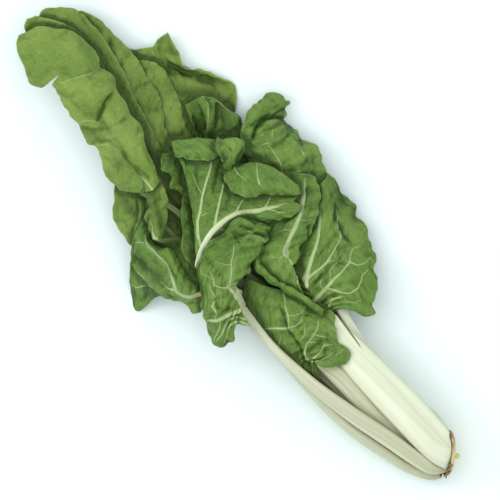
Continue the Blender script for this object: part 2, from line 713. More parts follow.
def tube(rings, attributes, uv):
    """A closed body through rings of points, with a fan at each end."""
    count, size = rings.shape[:2]
    ids = np.arange(count * size).reshape(count, size)
    around = np.roll(ids, -1, axis=1)
    quads = np.stack([ids[:-1], ids[1:], around[1:], around[:-1]], axis=-1).reshape(-1, 4)
    vertices = rings.reshape(-1, 3)
    uv = uv.reshape(-1, 2)
    attributes = {key: value.reshape((-1,) + value.shape[2:]) for key, value in attributes.items()}
    caps = []
    for row, flip in ((0, False), (count - 1, True)):
        hub = len(vertices)
        vertices = np.concatenate([vertices, rings[row].mean(axis=0)[None]])
        uv = np.concatenate([uv, uv[ids[row]].mean(axis=0)[None]])
        attributes = {k: np.append(a, a[ids[row]].mean(axis=0)[None], axis=0) for k, a in attributes.items()}
        p, q = ids[row], around[row]
        h = np.full(size, hub)
        caps.append(np.stack([h, q, p] if flip else [h, p, q], axis=-1))
    return vertices, [quads, np.concatenate(caps)], attributes, uv


def paint(red, green, blue):
    """A colour from the 0 to 255 values of a paint chart."""
    return tuple((v / 255) ** 2.2 for v in (red, green, blue)) + (1,)


def feed(link, value, socket):
    """Feeds a socket from another one, or sets it."""
    if isinstance(value, bpy.types.NodeSocket):
        link(value, socket)
    else:
        socket.default_value = value


def blended(add, link, share, first, second, mode="MIX"):
    node = add("ShaderNodeMix", data_type="RGBA", blend_type=mode)
    for index, value in ((0, share), (6, first), (7, second)):
        feed(link, value, node.inputs[index])
    return node.outputs[2]


def reckon(add, link, operation, first, second, third=0.0):
    """The result of one sum of two or three values."""
    node = add("ShaderNodeMath", operation=operation)
    for socket, value in zip(node.inputs, (first, second, third)):
        feed(link, value, socket)
    return node.outputs[0]


def stretch(add, link, value, low, high, to_low=0.0, to_high=1.0):
    node = add("ShaderNodeMapRange", interpolation_type="SMOOTHSTEP")
    link(value, node.inputs["Value"])
    for key, number in zip(("From Min", "From Max", "To Min", "To Max"), (low, high, to_low, to_high)):
        node.inputs[key].default_value = number
    return node.outputs["Result"]


def told(add, name):
    """What a mesh says at each point under that name."""
    return add("ShaderNodeAttribute", attribute_name=name).outputs["Fac"]


def speckle(add, link, place, scale, detail=3.0):
    node = add("ShaderNodeTexNoise", Scale=scale, Detail=detail)
    link(place, node.inputs["Vector"])
    return node.outputs["Fac"]


def roughen(add, link, shader, height, strength, depth):
    """Lets a pattern stand up from the surface a little."""
    bump = add("ShaderNodeBump", Strength=strength, Distance=depth)
    link(height, bump.inputs["Height"])
    link(bump.outputs["Normal"], shader.inputs["Normal"])


def sharp_lines(add, link):
    """1 in the middle of the lines drawn on a surface, 0 beside them."""
    part = {}
    for key in ("aside", "reach"):
        part[key] = add("ShaderNodeAttribute", attribute_name=key).outputs["Vector"]
    away = add("ShaderNodeVectorMath", operation="ABSOLUTE")
    link(part["aside"], away.inputs[0])
    inside = add("ShaderNodeVectorMath", operation="SUBTRACT")
    link(part["reach"], inside.inputs[0])
    link(away.outputs[0], inside.inputs[1])
    split = add("ShaderNodeSeparateXYZ")
    link(inside.outputs[0], split.inputs[0])
    most = reckon(add, link, "MAXIMUM", split.outputs[0], split.outputs[1])
    most = reckon(add, link, "MAXIMUM", most, split.outputs[2])
    return stretch(add, link, most, -0.12, 0.6)


def fine_net(add, link, place, size):
    """A bent network of fine veins: 0 on its lines, rising to 1 inside its meshes."""
    bend = add("ShaderNodeTexNoise", Scale=0.7 / size, Detail=1.0)
    link(place, bend.inputs["Vector"])
    shift = add("ShaderNodeVectorMath", operation="MULTIPLY_ADD")
    link(bend.outputs["Color"], shift.inputs[0])
    shift.inputs[1].default_value = (size, size, size)
    link(place, shift.inputs[2])
    net = add("ShaderNodeTexVoronoi", feature="DISTANCE_TO_EDGE", Scale=1 / size)
    link(shift.outputs[0], net.inputs["Vector"])
    return net.outputs["Distance"]


# The meshes of the two nets of fine veins, in metres, and the colour of the shade between the leaves.
COARSE_NET = 0.0065
SMALL_NET = 0.0026
blade_shade = paint(32, 52, 17)


def blade_finish(name, light, deep, valley, vein_colour, rim_colour):
    """Crinkled leaf skin: mottled green, darker in the net of fine veins, pale on the large ones."""
    made, shader, add, link = new_material(name, {"Specular IOR Level": 0.22})
    place = add("ShaderNodeTexCoord").outputs["Object"]
    patches = stretch(add, link, speckle(add, link, place, 26.0), 0.36, 0.64)
    mottle = stretch(add, link, speckle(add, link, place, 150.0), 0.3, 0.7)
    skin = blended(add, link, patches, deep, light)
    skin = blended(add, link, reckon(add, link, "MULTIPLY", mottle, 0.35), skin, light)
    hollow = stretch(add, link, told(add, "dome"), 0.15, -0.45)
    skin = blended(add, link, reckon(add, link, "MULTIPLY", hollow, 0.45), skin, valley)
    flat_place = add("ShaderNodeUVMap", uv_map="surface").outputs["UV"]
    coarse = fine_net(add, link, flat_place, COARSE_NET)
    small = fine_net(add, link, flat_place, SMALL_NET)
    net = stretch(add, link, coarse, 0.06, 0.0, 0.0, 0.09)
    skin = blended(add, link, net, skin, vein_colour)
    net = stretch(add, link, small, 0.12, 0.0, 0.0, 0.06)
    skin = blended(add, link, net, skin, vein_colour)
    rim = stretch(add, link, told(add, "edge"), 1.3, 0.2, 0.0, 0.6)
    skin = blended(add, link, rim, skin, rim_colour)
    dim = reckon(add, link, "MAXIMUM", told(add, "dim"), told(add, "deep"))
    skin = blended(add, link, dim, skin, blade_shade)
    vein = stretch(add, link, told(add, "vein"), 0.12, 0.85)
    vein = reckon(add, link, "MAXIMUM", vein, reckon(add, link, "MULTIPLY", sharp_lines(add, link), 0.8))
    vein = reckon(add, link, "MULTIPLY", vein, reckon(add, link, "SUBTRACT", 1.0, dim))
    skin = blended(add, link, vein, skin, vein_colour)
    link(skin, shader.inputs["Base Color"])
    puffed = reckon(add, link, "MULTIPLY_ADD", coarse, 1.6, reckon(add, link, "MULTIPLY", small, 0.6))
    fine = reckon(add, link, "MULTIPLY_ADD", speckle(add, link, place, 700.0, 4.0), 0.35, puffed)
    roughen(add, link, shader, fine, 0.75, 0.0012)
    link(stretch(add, link, mottle, 0.0, 1.0, 0.5, 0.65), shader.inputs["Roughness"])
    return made


PETIOLE_SURFACE = {
    "Roughness": 0.38,
    "Specular IOR Level": 0.45,
    "Subsurface Weight": 0.12,
    "Subsurface Radius": (0.004, 0.004, 0.002),
}
bleached_skin = paint(196, 202, 166)
dull_skin = paint(116, 124, 92)
petiole_shade = paint(112, 98, 44)
slit_green = paint(62, 92, 44)


def petiole_finish(name, light, shade, streak, green):
    """Smooth fibrous petiole skin, with fine lengthwise strands and bruised edges."""
    made, shader, add, link = new_material(name, PETIOLE_SURFACE)
    grain = add("ShaderNodeMapping")
    grain.inputs["Scale"].default_value = (1.0, 0.035, 1.0)
    link(add("ShaderNodeUVMap", uv_map="surface").outputs["UV"], grain.inputs["Vector"])
    strands = stretch(add, link, speckle(add, link, grain.outputs["Vector"], 420.0), 0.35, 0.65)
    broad = stretch(add, link, speckle(add, link, grain.outputs["Vector"], 130.0, 2.0), 0.4, 0.62)
    skin = blended(add, link, broad, shade, light)
    skin = blended(add, link, reckon(add, link, "MULTIPLY", strands, 0.45), skin, light)
    bruise = stretch(add, link, speckle(add, link, grain.outputs["Vector"], 190.0, 4.0), 0.66, 0.78)
    skin = blended(add, link, reckon(add, link, "MULTIPLY", bruise, 0.5), skin, streak)
    groove = stretch(add, link, told(add, "groove"), 0.25, 0.9)
    skin = blended(add, link, reckon(add, link, "MULTIPLY", groove, 0.4), skin, shade)
    edge = stretch(add, link, told(add, "rim"), 0.5, 0.95)
    skin = blended(add, link, reckon(add, link, "MULTIPLY", edge, 0.35), skin, streak)
    skin = blended(add, link, told(add, "bleached"), skin, bleached_skin)
    skin = blended(add, link, told(add, "green"), skin, green)
    skin = blended(add, link, told(add, "dull"), skin, dull_skin)
    deep = reckon(add, link, "MULTIPLY", told(add, "deep"), 0.3)
    skin = blended(add, link, deep, skin, petiole_shade)
    slit = reckon(add, link, "MULTIPLY", sharp_lines(add, link), 0.95)
    skin = blended(add, link, slit, skin, slit_green)
    cut = stretch(add, link, told(add, "base"), 0.55, 1.0)
    skin = blended(add, link, reckon(add, link, "MULTIPLY", cut, 0.5), skin, streak)
    link(skin, shader.inputs["Base Color"])
    roughen(add, link, shader, strands, 0.22, 0.0008)
    return made


vein_pale = paint(178, 196, 146)
blade_finishes = {}
petiole_finishes = {}
blade_finishes["tall"] = blade_finish(
    "tall_blade_skin", paint(118, 145, 66), paint(94, 123, 50), paint(56, 83, 28), vein_pale,
    paint(140, 166, 98),
)
petiole_finishes["inner"] = petiole_finish(
    "inner_petiole_skin", paint(84, 104, 50), paint(60, 82, 36), paint(60, 66, 30), paint(70, 98, 38),
)

# Details that a leaf has unless its own call says otherwise. Lengths are in millimetres.
USUAL = {
    "crown_angle": None,  # where on the crown's ring the petiole starts, if it does
    "crown_width": 8,  # its width there
    "set_back": 0.8,  # how far it stands back from the cut
    "nose": 2.5,  # how far its rounded end bulges
    "sides": 20,  # facets of its outer face
    "grooves": [(0.35, 0.5, 0.22), (-0.4, 0.45, 0.2)],  # (place, depth, breadth) of its channels
    "fibre": 0.1,  # height of its fine ribs
    "slits": [],  # dark splits, drawn as lines
    "dull": [],  # (strength, x where it starts, x where it is full) of a greyer stretch
    "petiole": "cream",  # its finish
    "tone": "outer",  # the blade's finish
    "pitch": 1.3,  # distance between the blade's vertices
    "left_from": 0,  # the row where its left half starts
    "right_from": 0,  # the row where its right half starts
    "rib_from": 0,  # the row where a folded blade shows its midrib
    "midrib": 0.9,  # how pale the midrib is
    "veins": [],  # (half width, half width at the end, line)
    "folds": [],  # (height, breadth, line)
    "shades": [],  # (strength, breadth, line)
    "tears": [],  # (width, line)
    "notches": [],  # (depth, breadth, x, y)
    "blister": 8,  # size of the blisters
    "puff": 0.6,  # height of the blisters
    "puckers": 1,  # height of the puckers
    "pucker_size": 13,  # and their size
    "sway": 1.1,  # height of the broad waves
    "ridge": 0.6,  # height of the veins
    "rolled": 0,  # how far the margin curls
    "frill": 0.8,  # height of the frill on the margin
    "frill_pitch": 11,  # and its length
    "nibble": 0.35,  # how uneven the margin is
}

# What the leaves that lie low in the bunch have in common: they show their backs and little midrib.
LOW_LEAF = {
    "face": -1,
    "tone": "tall",
    "petiole": "inner",
    "pitch": 1.5,
    "puff": 0.5,
    "frill": 0.5,
    "midrib": 0.1,
    "rolled": 2,
}

bunch = []


def leaf(name, **given):
    """Builds one leaf, lets it settle on those below it, and puts it in its solids' place.

    rows run across the blade from the base to the tip, each with points from the left margin to the
    right one, and mid is the midrib's column. The rib stands up for rib_rows rows, and rib is its
    width at both ends. face is 1 where the inner face is up and -1 where the back is. ruffle and
    waves are the height and number of the margin's waves, and pleat the height of those between
    the rows. stem holds the petiole's stations.
    """
    leaf = {**USUAL, **given}
    grid, keep, attributes, uv = blade_surface(leaf)
    rings, stem_attributes, stem_uv, rib_start = stem_solid(leaf, grid)

    low = np.full(FIELD_SHAPE, np.inf)
    for points, half in ((grid.reshape(-1, 3), BLADE_THICK / 2), (rings[rib_start:].reshape(-1, 3), 0)):
        np.minimum.at(low, cell_of(points), points[:, 2] - half)
    low = spread(low, np.minimum)
    lift = lift_field(settled, np.where(np.isfinite(low), low, 1e3))
    lifted(grid, lift)
    lifted(rings, lift)
    high = np.zeros(FIELD_SHAPE)
    for points, half in ((grid.reshape(-1, 3), BLADE_THICK / 2), (rings.reshape(-1, 3), 0)):
        np.maximum.at(high, cell_of(points), points[:, 2] + half + CLEARANCE)
    np.maximum(settled, spread(high, np.maximum), out=settled)

    vertices, quads, source = solid_sheet(grid, keep, BLADE_THICK)
    attributes = {key: value.reshape((-1,) + value.shape[2:])[source] for key, value in attributes.items()}
    finish = blade_finishes[leaf["tone"]]
    uv = uv.reshape(-1, 2)[source]
    blade = mesh_piece(name + "_crinkled_blade", vertices, [quads], attributes, uv, finish)
    vertices, faces, attributes, uv = tube(rings, stem_attributes, stem_uv)
    finish = petiole_finishes[leaf["petiole"]]
    petiole = mesh_piece(name + "_petiole", vertices, faces, attributes, uv, finish)
    slots = {"tall": "tall_blade", "outer": "blade", "deep": "dark_blade"}
    bunch.extend([blade, petiole])
    for piece, node, slot in ((blade, "_blade", slots[leaf["tone"]]), (petiole, "_stem", "stem")):
        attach(piece, "root")
        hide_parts(name + node)


leaf(
    "back_right", **LOW_LEAF, salt=1, crown_angle=228, crown_width=8.2, mid=3, rib_rows=3, rib=(7, 2.4),
    ruffle=1.4, waves=3.5, pleat=0.5,
    shades=[
        (0.62, 5.5, [(396, -44), (388, -51), (381, -60), (374, -67)]),
    ],
    folds=[
        (3, 3, [(425, -58.5), (411.5, -66), (395, -73), (377.5, -82), (360, -81)]),
        (-3, 3.5, [(420, -56), (407, -61), (390, -68), (375, -75)]),
        (-2.5, 2.5, [(426, -64), (418, -70), (410, -77)]), (1.8, 4, [(400, -56), (385, -64), (370, -70)]),
    ],
    stem=[
        (45, 2, 5, 11, 4.5, -165), (80, 4, 4, 16, 5.5, -180), (130, 0, 4, 16, 5.5, -180),
        (180, -8, 4, 14, 5, -180), (240, -22, 4, 12, 5, -180), (290, -34, 5, 10, 4, -180),
    ],
    rows=[
        [(322, -18, 12), (322, -25, 11), (322, -33, 9), (325, -42, 7),
         (330, -48, 6), (334, -54, 6), (338, -60, 6)],
        [(340, -16, 14), (338, -25, 13), (337, -34, 10), (340, -46, 7),
         (344, -54, 5), (346, -62, 4), (348, -69, 3)],
        [(362, -16, 16), (360, -24, 15), (357, -36, 12), (356, -50, 7),
         (357, -60, 4), (357, -70, 2), (357, -79, 0.5)],
        [(382, -22, 17), (378, -32, 17), (374, -44, 12), (370, -55, 8),
         (369, -66, 4), (368, -76, 1.5), (368, -84.5, 0)],
        [(400, -30, 16), (396, -40, 16), (391, -50, 11), (386, -58, 8),
         (386, -67, 5), (387, -74, 4), (387, -79.5, 7)],
        [(418, -36, 14), (412, -44, 14), (406, -52, 11), (401, -59, 8),
         (404, -63, 6), (408, -66, 7), (403, -71, 11)],
        [(436, -38, 12), (430, -45, 11), (422, -53, 9), (415, -58, 8),
         (418, -59, 7), (422, -61, 8), (411, -69, 12)],
        [(447, -40, 9), (440, -48, 9), (434, -54, 8), (428, -58, 7),
         (432, -61, 7), (434, -65, 8), (426, -73, 11)],
        [(444, -44, 7), (441, -50, 7), (438, -56, 7), (437, -60, 7),
         (438, -64, 7), (438, -69, 8), (436, -76.5, 9)],
    ],
)

# ---- The shingled tall leaves --------------------------------------------------------------------
# Four long leaves lie on each other like shingles, with their smooth backs up and their right
# margins showing. Each is a soft green blade on a long petiole from deep in the bunch.

# The lowest of them reaches least far.
leaf(
    "tall_fifth", **LOW_LEAF, salt=2, crown_angle=264, crown_width=8.2, mid=2, rib_rows=2, rib=(6, 2),
    ruffle=1.2, waves=3, pleat=0.6,
    stem=[
        (40, 16, 4, 13, 5, 180), (80, 23, 4, 16, 5.5, 180), (130, 22, 4, 16, 5.5, 180),
        (180, 14, 5, 14, 5, 180), (240, 2, 8, 12, 5, 180), (300, -8, 12, 10, 4, 180),
    ],
    rows=[
        [(338, 6, 18), (336, -3, 17), (335, -12, 15), (336, -18, 15), (338, -24, 13)],
        [(352, 8, 19), (350, -3, 18), (348, -14, 17), (350, -21, 17), (353, -27, 14)],
        [(370, 4, 21), (367, -6, 20), (364, -16, 19), (366, -23, 18), (368, -30, 14)],
        [(388, -4, 22), (384, -13, 21), (381, -22, 20), (382, -30, 19), (384, -38, 14)],
        [(404, -12, 22), (401, -20, 21), (398, -28, 20), (399, -37, 19), (400, -45, 14)],
        [(420, -18, 22), (417, -26, 21), (414, -34, 20), (414, -42, 19), (414, -50, 15)],
        [(436, -24, 21), (432, -31, 20), (428, -37, 19), (427, -43, 18), (427, -48.5, 15)],
        [(444, -32, 18), (442, -35, 18), (440, -38, 17), (437, -41, 17), (434, -44, 16)],
    ],
)
# Its left margin lies under the next leaf, and its right one rolls down.
leaf(
    "tall_fourth", **LOW_LEAF, salt=3, crown_angle=194, crown_width=7.6, mid=2, rib_rows=2, rib=(6, 2),
    ruffle=1.3, waves=4, pleat=0.6,
    folds=[
        (-1.8, 1.4, [(495, -37), (486, -36), (480, -35)]),
        (-1.8, 1.4, [(468, -40), (462, -32), (454.5, -28.5)]),
        (1.4, 2.4, [(475, -39), (468, -32), (461, -27)]), (-1.6, 1.4, [(447, -39), (445, -29), (441, -23)]),
        (1.3, 2.2, [(441, -41), (438, -30), (434, -22)]),
        (-1.8, 1.5, [(418, -36), (421.5, -28.5), (421, -21)]),
        (1.5, 2.5, [(411, -33), (412, -24), (412, -18)]),
        (-1.8, 1.5, [(396, -26), (399.5, -19.5), (407, -17)]),
        (1.3, 3, [(388.5, -19.5), (393, -15), (399, -13)]),
    ],
    stem=[
        (45, -5, 12.6, 9, 4.5, -115), (70, 0, 12, 14, 5, -135), (100, 3, 12, 15, 5, -160),
        (150, 6, 12, 15, 5, -175), (200, 8, 13, 14, 5, -180), (260, 8, 15, 12, 4.5, -180),
        (305, 7, 19, 9, 4, -180),
    ],
    rows=[
        [(332, 20, 25), (331, 13, 24), (330, 6, 22), (332, -1, 22), (335, -8, 19)],
        [(352, 18, 27), (351, 10, 26), (350, 3, 25), (352, -4, 24), (356, -11, 20)],
        [(374, 12, 28), (373, 5, 28), (372, -2, 27), (374, -9, 26), (377, -15, 21)],
        [(398, 2, 28), (397, -5, 28), (396, -12, 28), (397, -20, 27), (399, -28, 21)],
        [(420, -4, 28), (419, -12, 28), (418, -19, 28), (418, -27, 27), (418, -35, 21)],
        [(440, -9, 28), (440, -17, 28), (440, -24, 28), (440, -32, 26), (440, -40.5, 21)],
        [(461, -13, 28), (461, -20, 28), (461, -27, 27), (461, -34, 26), (461, -41.5, 21)],
        [(481, -16, 27), (481, -23, 27), (481, -29, 26), (481, -35, 25), (481, -42, 20)],
        [(497, -22, 25), (497, -26, 25), (497, -31, 24), (495, -35, 23), (492, -39, 20)],
        [(505, -29, 23), (505, -31, 23), (504, -33, 22), (502, -35, 21), (500, -36.5, 20)],
    ],
)
# This one nearly reaches the tips.
leaf(
    "tall_third", **LOW_LEAF, salt=4, mid=2, rib_rows=3, rib=(6, 2), ruffle=1.2, waves=4, pleat=0.6,
    folds=[
        (-1.8, 1.5, [(502.5, -34.5), (494, -32), (483.5, -31.5)]),
        (1.4, 2, [(507.5, -31.5), (498, -30), (485, -29)]),
        (-1.4, 1.4, [(461, -25), (453, -25), (448, -24)]), (1.2, 2.5, [(473, -29), (464, -28), (456, -28)]),
        (-1.6, 1.5, [(435, -17), (424, -16), (418, -16)]), (1.3, 2.4, [(446, -18), (437, -19), (428, -20)]),
        (1.4, 5, [(517, -21), (499, -27), (471, -27), (437, -21)]),
    ],
    stem=[
        (46, 20, 12, 9, 4, 180), (70, 24, 12, 13, 5, 180), (110, 27, 12, 15, 5, 180),
        (160, 26, 13, 15, 5, 180), (220, 22, 16, 13, 4.5, 180), (272, 20, 20, 11, 4, 180),
    ],
    rows=[
        [(298, 34, 20), (296, 27, 22), (294, 20, 23), (297, 10, 22), (300, 0, 19)],
        [(332, 35, 26), (331, 27, 28), (330, 19, 27), (332, 10, 27), (335, 0, 25)],
        [(356, 32, 31), (355, 24, 31), (354, 16, 30), (356, 8, 30), (359, 0, 27)],
        [(382, 28, 33), (381, 18, 33), (380, 9, 32), (382, 1, 32), (386, -6, 28)],
        [(408, 20, 34), (407, 11, 34), (406, 2, 33), (409, -6, 32), (413, -13, 28)],
        [(432, 14, 34), (431, 5, 34), (430, -4, 33), (432, -13, 32), (435, -24, 28)],
        [(456, 10, 34), (455, 1, 34), (454, -8, 33), (455, -18, 31), (458, -30, 27)],
        [(480, 6, 33), (479, -2, 33), (478, -11, 32), (478, -22, 30), (480, -34.5, 26)],
        [(502, 4, 32), (502, -5, 32), (501, -14, 31), (500, -24, 29), (500, -35, 25)],
        [(516, -1, 31), (516, -7, 31), (516, -15, 30), (515, -21, 28), (512, -28, 25)],
        [(524, -7, 30), (524, -10, 29), (525, -13, 29), (524, -16, 28), (522, -19, 27)],
    ],
)
# The longest leaf; its left half spreads out under the top one.
leaf(
    "tall_second", salt=5, face=-1, mid=3, rib_rows=3, rib=(6, 2), ruffle=1.4, waves=5, pleat=0.6,
    tone="tall", petiole="inner", frill=0.5, midrib=0.1, rolled=2.2,
    shades=[
        (0.5, 4, [(362, 49), (354, 52), (346, 53)]), (0.6, 14, [(305, 40), (345, 30), (372, 14)]),
    ],
    stem=[
        (50, 22, 20, 8, 4, 170), (80, 30, 18, 13, 5, 170), (120, 36, 18, 14, 5, 170),
        (170, 38, 20, 13, 5, 175), (230, 40, 25, 12, 4.5, 180), (275, 42, 29, 10, 4, 180),
    ],
    rows=[
        [(302, 58, 22), (300, 53, 29), (298, 48, 32), (296, 42, 32), (299, 34, 31), (302, 27, 28)],
        [(330, 72, 24), (329, 62, 32), (328, 52, 35), (328, 42, 35), (330, 34, 34), (332, 24, 32)],
        [(342, 71, 27), (341, 61, 34), (341, 51, 37), (342, 40, 37), (344, 32, 37), (347, 24, 35)],
        [(358, 65, 28), (357, 57, 35), (356, 47, 38), (356, 37, 38), (358, 28, 38), (362, 18, 35)],
        [(368.5, 55, 31), (369, 49, 35), (370, 42, 39), (372, 33, 39), (375, 23, 39), (379, 11, 36)],
        [(385, 38, 36), (388, 35, 38), (391, 32, 40), (394, 24, 40), (396, 12, 40), (399, 0, 37)],
        [(414, 34, 39), (414, 29, 40), (415, 23, 41), (416, 16, 41), (417, 4, 40), (419, -8, 37)],
        [(440, 26, 40), (440, 21, 41), (440, 16, 41), (441, 9, 41), (442, -3, 40), (444, -14, 37)],
        [(466, 12, 40), (466, 11, 41), (467, 8, 41), (468, 4, 41), (469, -8, 39), (470, -20, 36)],
        [(490, 10, 40), (491, 9, 40), (492, 6, 40), (493, 1, 40), (493, -10, 38), (493, -22.5, 35)],
        [(510, 13, 39), (511, 10, 39), (512, 6, 39), (513, 0, 39), (514, -6, 38), (514, -13, 36)],
        [(525, 7, 38), (527, 5, 38), (528, 3, 38), (529, 0, 38), (527, -3, 38), (525, -6, 37)],
    ],
)

# ---- The leaves at the left ----------------------------------------------------------------------
# Two outer leaves spread from the left of the crown, crinkled and deep green on their upper faces,
# with white midribs. The lower margin of the broad one hangs over to the board.

blade_finishes["outer"] = blade_finish(
    "outer_blade_skin", paint(107, 140, 64), paint(83, 117, 46), paint(45, 74, 24), vein_pale,
    paint(122, 154, 86),
)
petiole_finishes["pale"] = petiole_finish(
    "pale_petiole_skin", paint(204, 210, 182), paint(180, 186, 154), paint(150, 130, 88),
    paint(184, 200, 146),
)

# The broad leaf with the hooked tip that hangs to the board.
leaf(
    "left_outer", salt=6, crown_angle=338, crown_width=9, face=1, mid=3, rib_rows=6, rib=(4.6, 1.2),
    ruffle=0.9, waves=5, pleat=0.3, petiole="pale", pitch=1, midrib=0.3, frill=0.3, ridge=0.4,
    dull=[(0.5, 238, 256)],
    notches=[
        (2, 2.5, 285, 85.5), (-1.5, 2.5, 254.5, 75.5), (1.5, 2.5, 254, 69.5), (1.5, 3, 320.5, 79.5),
        (-1.2, 2.5, 308.5, 95.5),
    ],
    shades=[
        (0.5, 6, [(268, 57), (290, 52), (312, 46)]), (0.4, 5, [(286, 77), (298, 77), (312, 77)]),
    ],
    veins=[
        (1.5, 0.8, [(276.5, 74), (283, 70.5), (289.5, 67), (296.5, 64)]),
        (0.5, 0.3, [(296.5, 64), (305, 63.5), (319, 63), (325, 62), (328.5, 59.5)]),
        (0.45, 0.3, [(284, 83.5), (300, 84.5), (318, 83.8)]), (1, 0.5, [(279, 75), (283, 77.5), (290, 79)]),
        (0.6, 0.5, [(305, 64), (313, 63.5), (320, 64.5), (325, 62), (329, 58)]),
        (0.5, 0.3, [(325, 65), (330, 69)]), (0.8, 0.4, [(299, 91), (302, 95), (308, 97)]),
        (0.5, 0.3, [(286, 68), (284, 76), (285, 80)]),
    ],
    folds=[
        (3, 1.6, [(280, 82), (290, 83.5), (300, 84.5), (310, 84), (319, 83.5)]),
        (-3, 3, [(284, 79), (296, 78), (308, 78.5), (320, 79)]),
        (-1.2, 1.2, [(336, 58), (341, 54), (346, 53), (350, 47)]),
        (-2.2, 3, [(262, 56), (275, 57), (288, 54), (300, 50), (314, 48)]),
        (-1.6, 1.6, [(283, 65.5), (290, 65), (297, 63.5)]), (-2, 2.5, [(291, 99), (293, 93), (300, 90)]),
        (1.4, 3.5, [(293, 60), (303, 56), (312, 52)]), (1.2, 3, [(300, 72), (315, 71), (327, 68)]),
    ],
    stem=[
        (11, 30, 21, 12, 4.5, 72), (30, 39.5, 24, 14, 5, 66), (60, 46, 27, 14.5, 5, 64),
        (100, 52, 31.5, 14, 5, 65), (150, 51.5, 36, 12, 5, 65), (200, 48, 40, 9, 4.5, 60),
        (235, 50, 44, 8, 4, 45),
    ],
    rows=[
        [(249, 72, 41), (250, 69, 43), (252, 64, 45), (256, 57, 47),
         (259, 53, 45), (260, 49, 42), (261, 45, 38)],
        [(254, 76, 42), (256, 73, 44), (258, 69, 46), (261, 63, 48),
         (264, 58, 46), (266, 52, 43), (267, 45, 38)],
        [(262, 76, 42), (263, 75, 44), (263, 73, 47), (264, 69, 50),
         (268, 63, 49), (271, 54, 45), (273, 45, 38)],
        [(271, 79, 42), (270, 78, 45), (270, 76, 48), (270, 73, 51),
         (275, 66, 51), (279, 56, 46), (281, 45, 38)],
        [(279, 84, 34), (279, 81, 41), (278.5, 77.5, 49), (278, 73.5, 52),
         (284, 64, 51), (288, 54, 46), (290, 44, 39)],
        [(284, 90, 24), (286, 84, 38), (287, 77, 50), (286, 69.5, 52),
         (293, 60, 50), (297, 52, 46), (300, 44, 40)],
        [(287, 108, -1), (293, 88, 30), (297, 77, 50), (296, 66, 52),
         (301, 60, 49), (303, 55, 47), (304, 50, 43)],
        [(296, 106, -1), (303, 87, 29), (307, 75, 49), (308, 65, 49),
         (310.5, 62.5, 48), (311.5, 60, 46.5), (312, 58, 44)],
        [(311, 95, 14), (315, 84, 29), (318, 75, 39), (320, 66, 45),
         (322, 62.5, 44), (324, 60, 42), (326, 57.5, 40)],
        [(322, 81, 30), (325, 76, 35), (328, 71, 38), (330, 65, 40),
         (329, 59, 40), (327, 54, 38), (325, 50, 36)],
        [(332, 70.5, 33), (333.5, 67, 36), (335, 63.5, 38), (335.5, 60, 40),
         (334, 55, 41), (332, 50, 40), (330, 46, 38)],
        [(338, 62.5, 36), (339, 60, 38), (339.5, 57.5, 40), (339.5, 54, 42),
         (338.5, 50, 42), (337, 46, 41), (335, 42, 39)],
        [(342, 53.5, 38), (342.5, 52, 40), (343, 50, 42), (343, 47.5, 43),
         (342.5, 45, 43), (342, 42, 42), (341, 39, 40)],
        [(348, 47.5, 39), (348, 46, 41), (348.5, 44.5, 43), (348.5, 43, 43),
         (348, 41, 43), (347.5, 39, 42), (347, 37, 40)],
        [(355, 41.5, 40), (355, 41, 41), (355, 40.5, 42), (355, 40, 42),
         (355, 39, 42), (355, 38, 41), (354.5, 37, 40)],
    ],
)
# The narrow leaf whose midrib stands up as a ridge from a pale point.
leaf(
    "left_ridge", salt=7, crown_angle=301, crown_width=9, face=1, mid=2, rib_rows=2, rib=(4, 1.4),
    ruffle=0.9, waves=4, pleat=0.5, petiole="inner", tone="tall", pitch=1, midrib=0, rib_from=99,
    shades=[
        (0.5, 5, [(325, 44), (340, 36), (352, 26), (370, 18)]),
    ],
    veins=[
        (0.25, 0.4, [(350.5, 34.5), (342, 40.5), (334, 46.5), (326, 52.5)]),
        (0.5, 1.3, [(326, 52.5), (321.5, 54), (316.5, 53)]),
    ],
    folds=[
        (1.6, 2.5, [(317, 53), (325, 48), (335, 41), (354, 28)]),
        (-1.6, 2.5, [(324, 53), (334, 47), (346, 38)]),
    ],
    stem=[
        (15, 25, 6.5, 10, 4, 125), (30, 40, 9.5, 13, 5, 105), (60, 47.5, 12, 14, 5, 100),
        (100, 53, 16.5, 14, 5, 100), (150, 52, 21, 12, 5, 95), (200, 46, 27, 9, 4.5, 80),
        (250, 46, 34, 8, 4, 50), (285, 45, 37, 6, 3.5, 20), (303, 40, 40, 4, 3, 10),
    ],
    rows=[
        [(316, 55, 49), (316, 54, 51), (315.5, 52.8, 52), (317, 50, 50), (320, 45, 47)],
        [(325, 55, 50), (325, 53.5, 53), (325.5, 50.5, 56), (325, 45, 54), (324, 38, 51)],
        [(333, 51.5, 49), (333, 49, 53), (333.5, 45.5, 57), (332, 38, 54), (331, 30, 51)],
        [(341, 45.5, 49), (341, 43, 53), (341.5, 39, 57), (340, 31.5, 54), (339, 23, 51)],
        [(349.5, 37, 48), (349, 34.5, 52), (349, 30.5, 55), (350, 24, 53), (352, 17, 50)],
        [(363, 38, 44), (360, 34, 48), (357, 28, 52), (358, 22, 51), (360, 15, 49)],
        [(378, 37, 40), (372, 31, 44), (365, 25, 50), (366, 20, 49), (367, 15, 48)],
        [(392, 30, 38), (388, 27, 41), (383, 22, 43), (385, 18, 42), (387, 14, 40)],
        [(402, 24, 38), (400, 22, 39), (398, 18, 41), (399, 15, 40), (400, 12, 39)],
    ],
)

# ---- The tall leaf on top ------------------------------------------------------------------------
# The uppermost of the tall leaves lies back up over the others. It is broad, smooth and light, with
# dents across it, a few bites in its left margin and one tear near its tip.

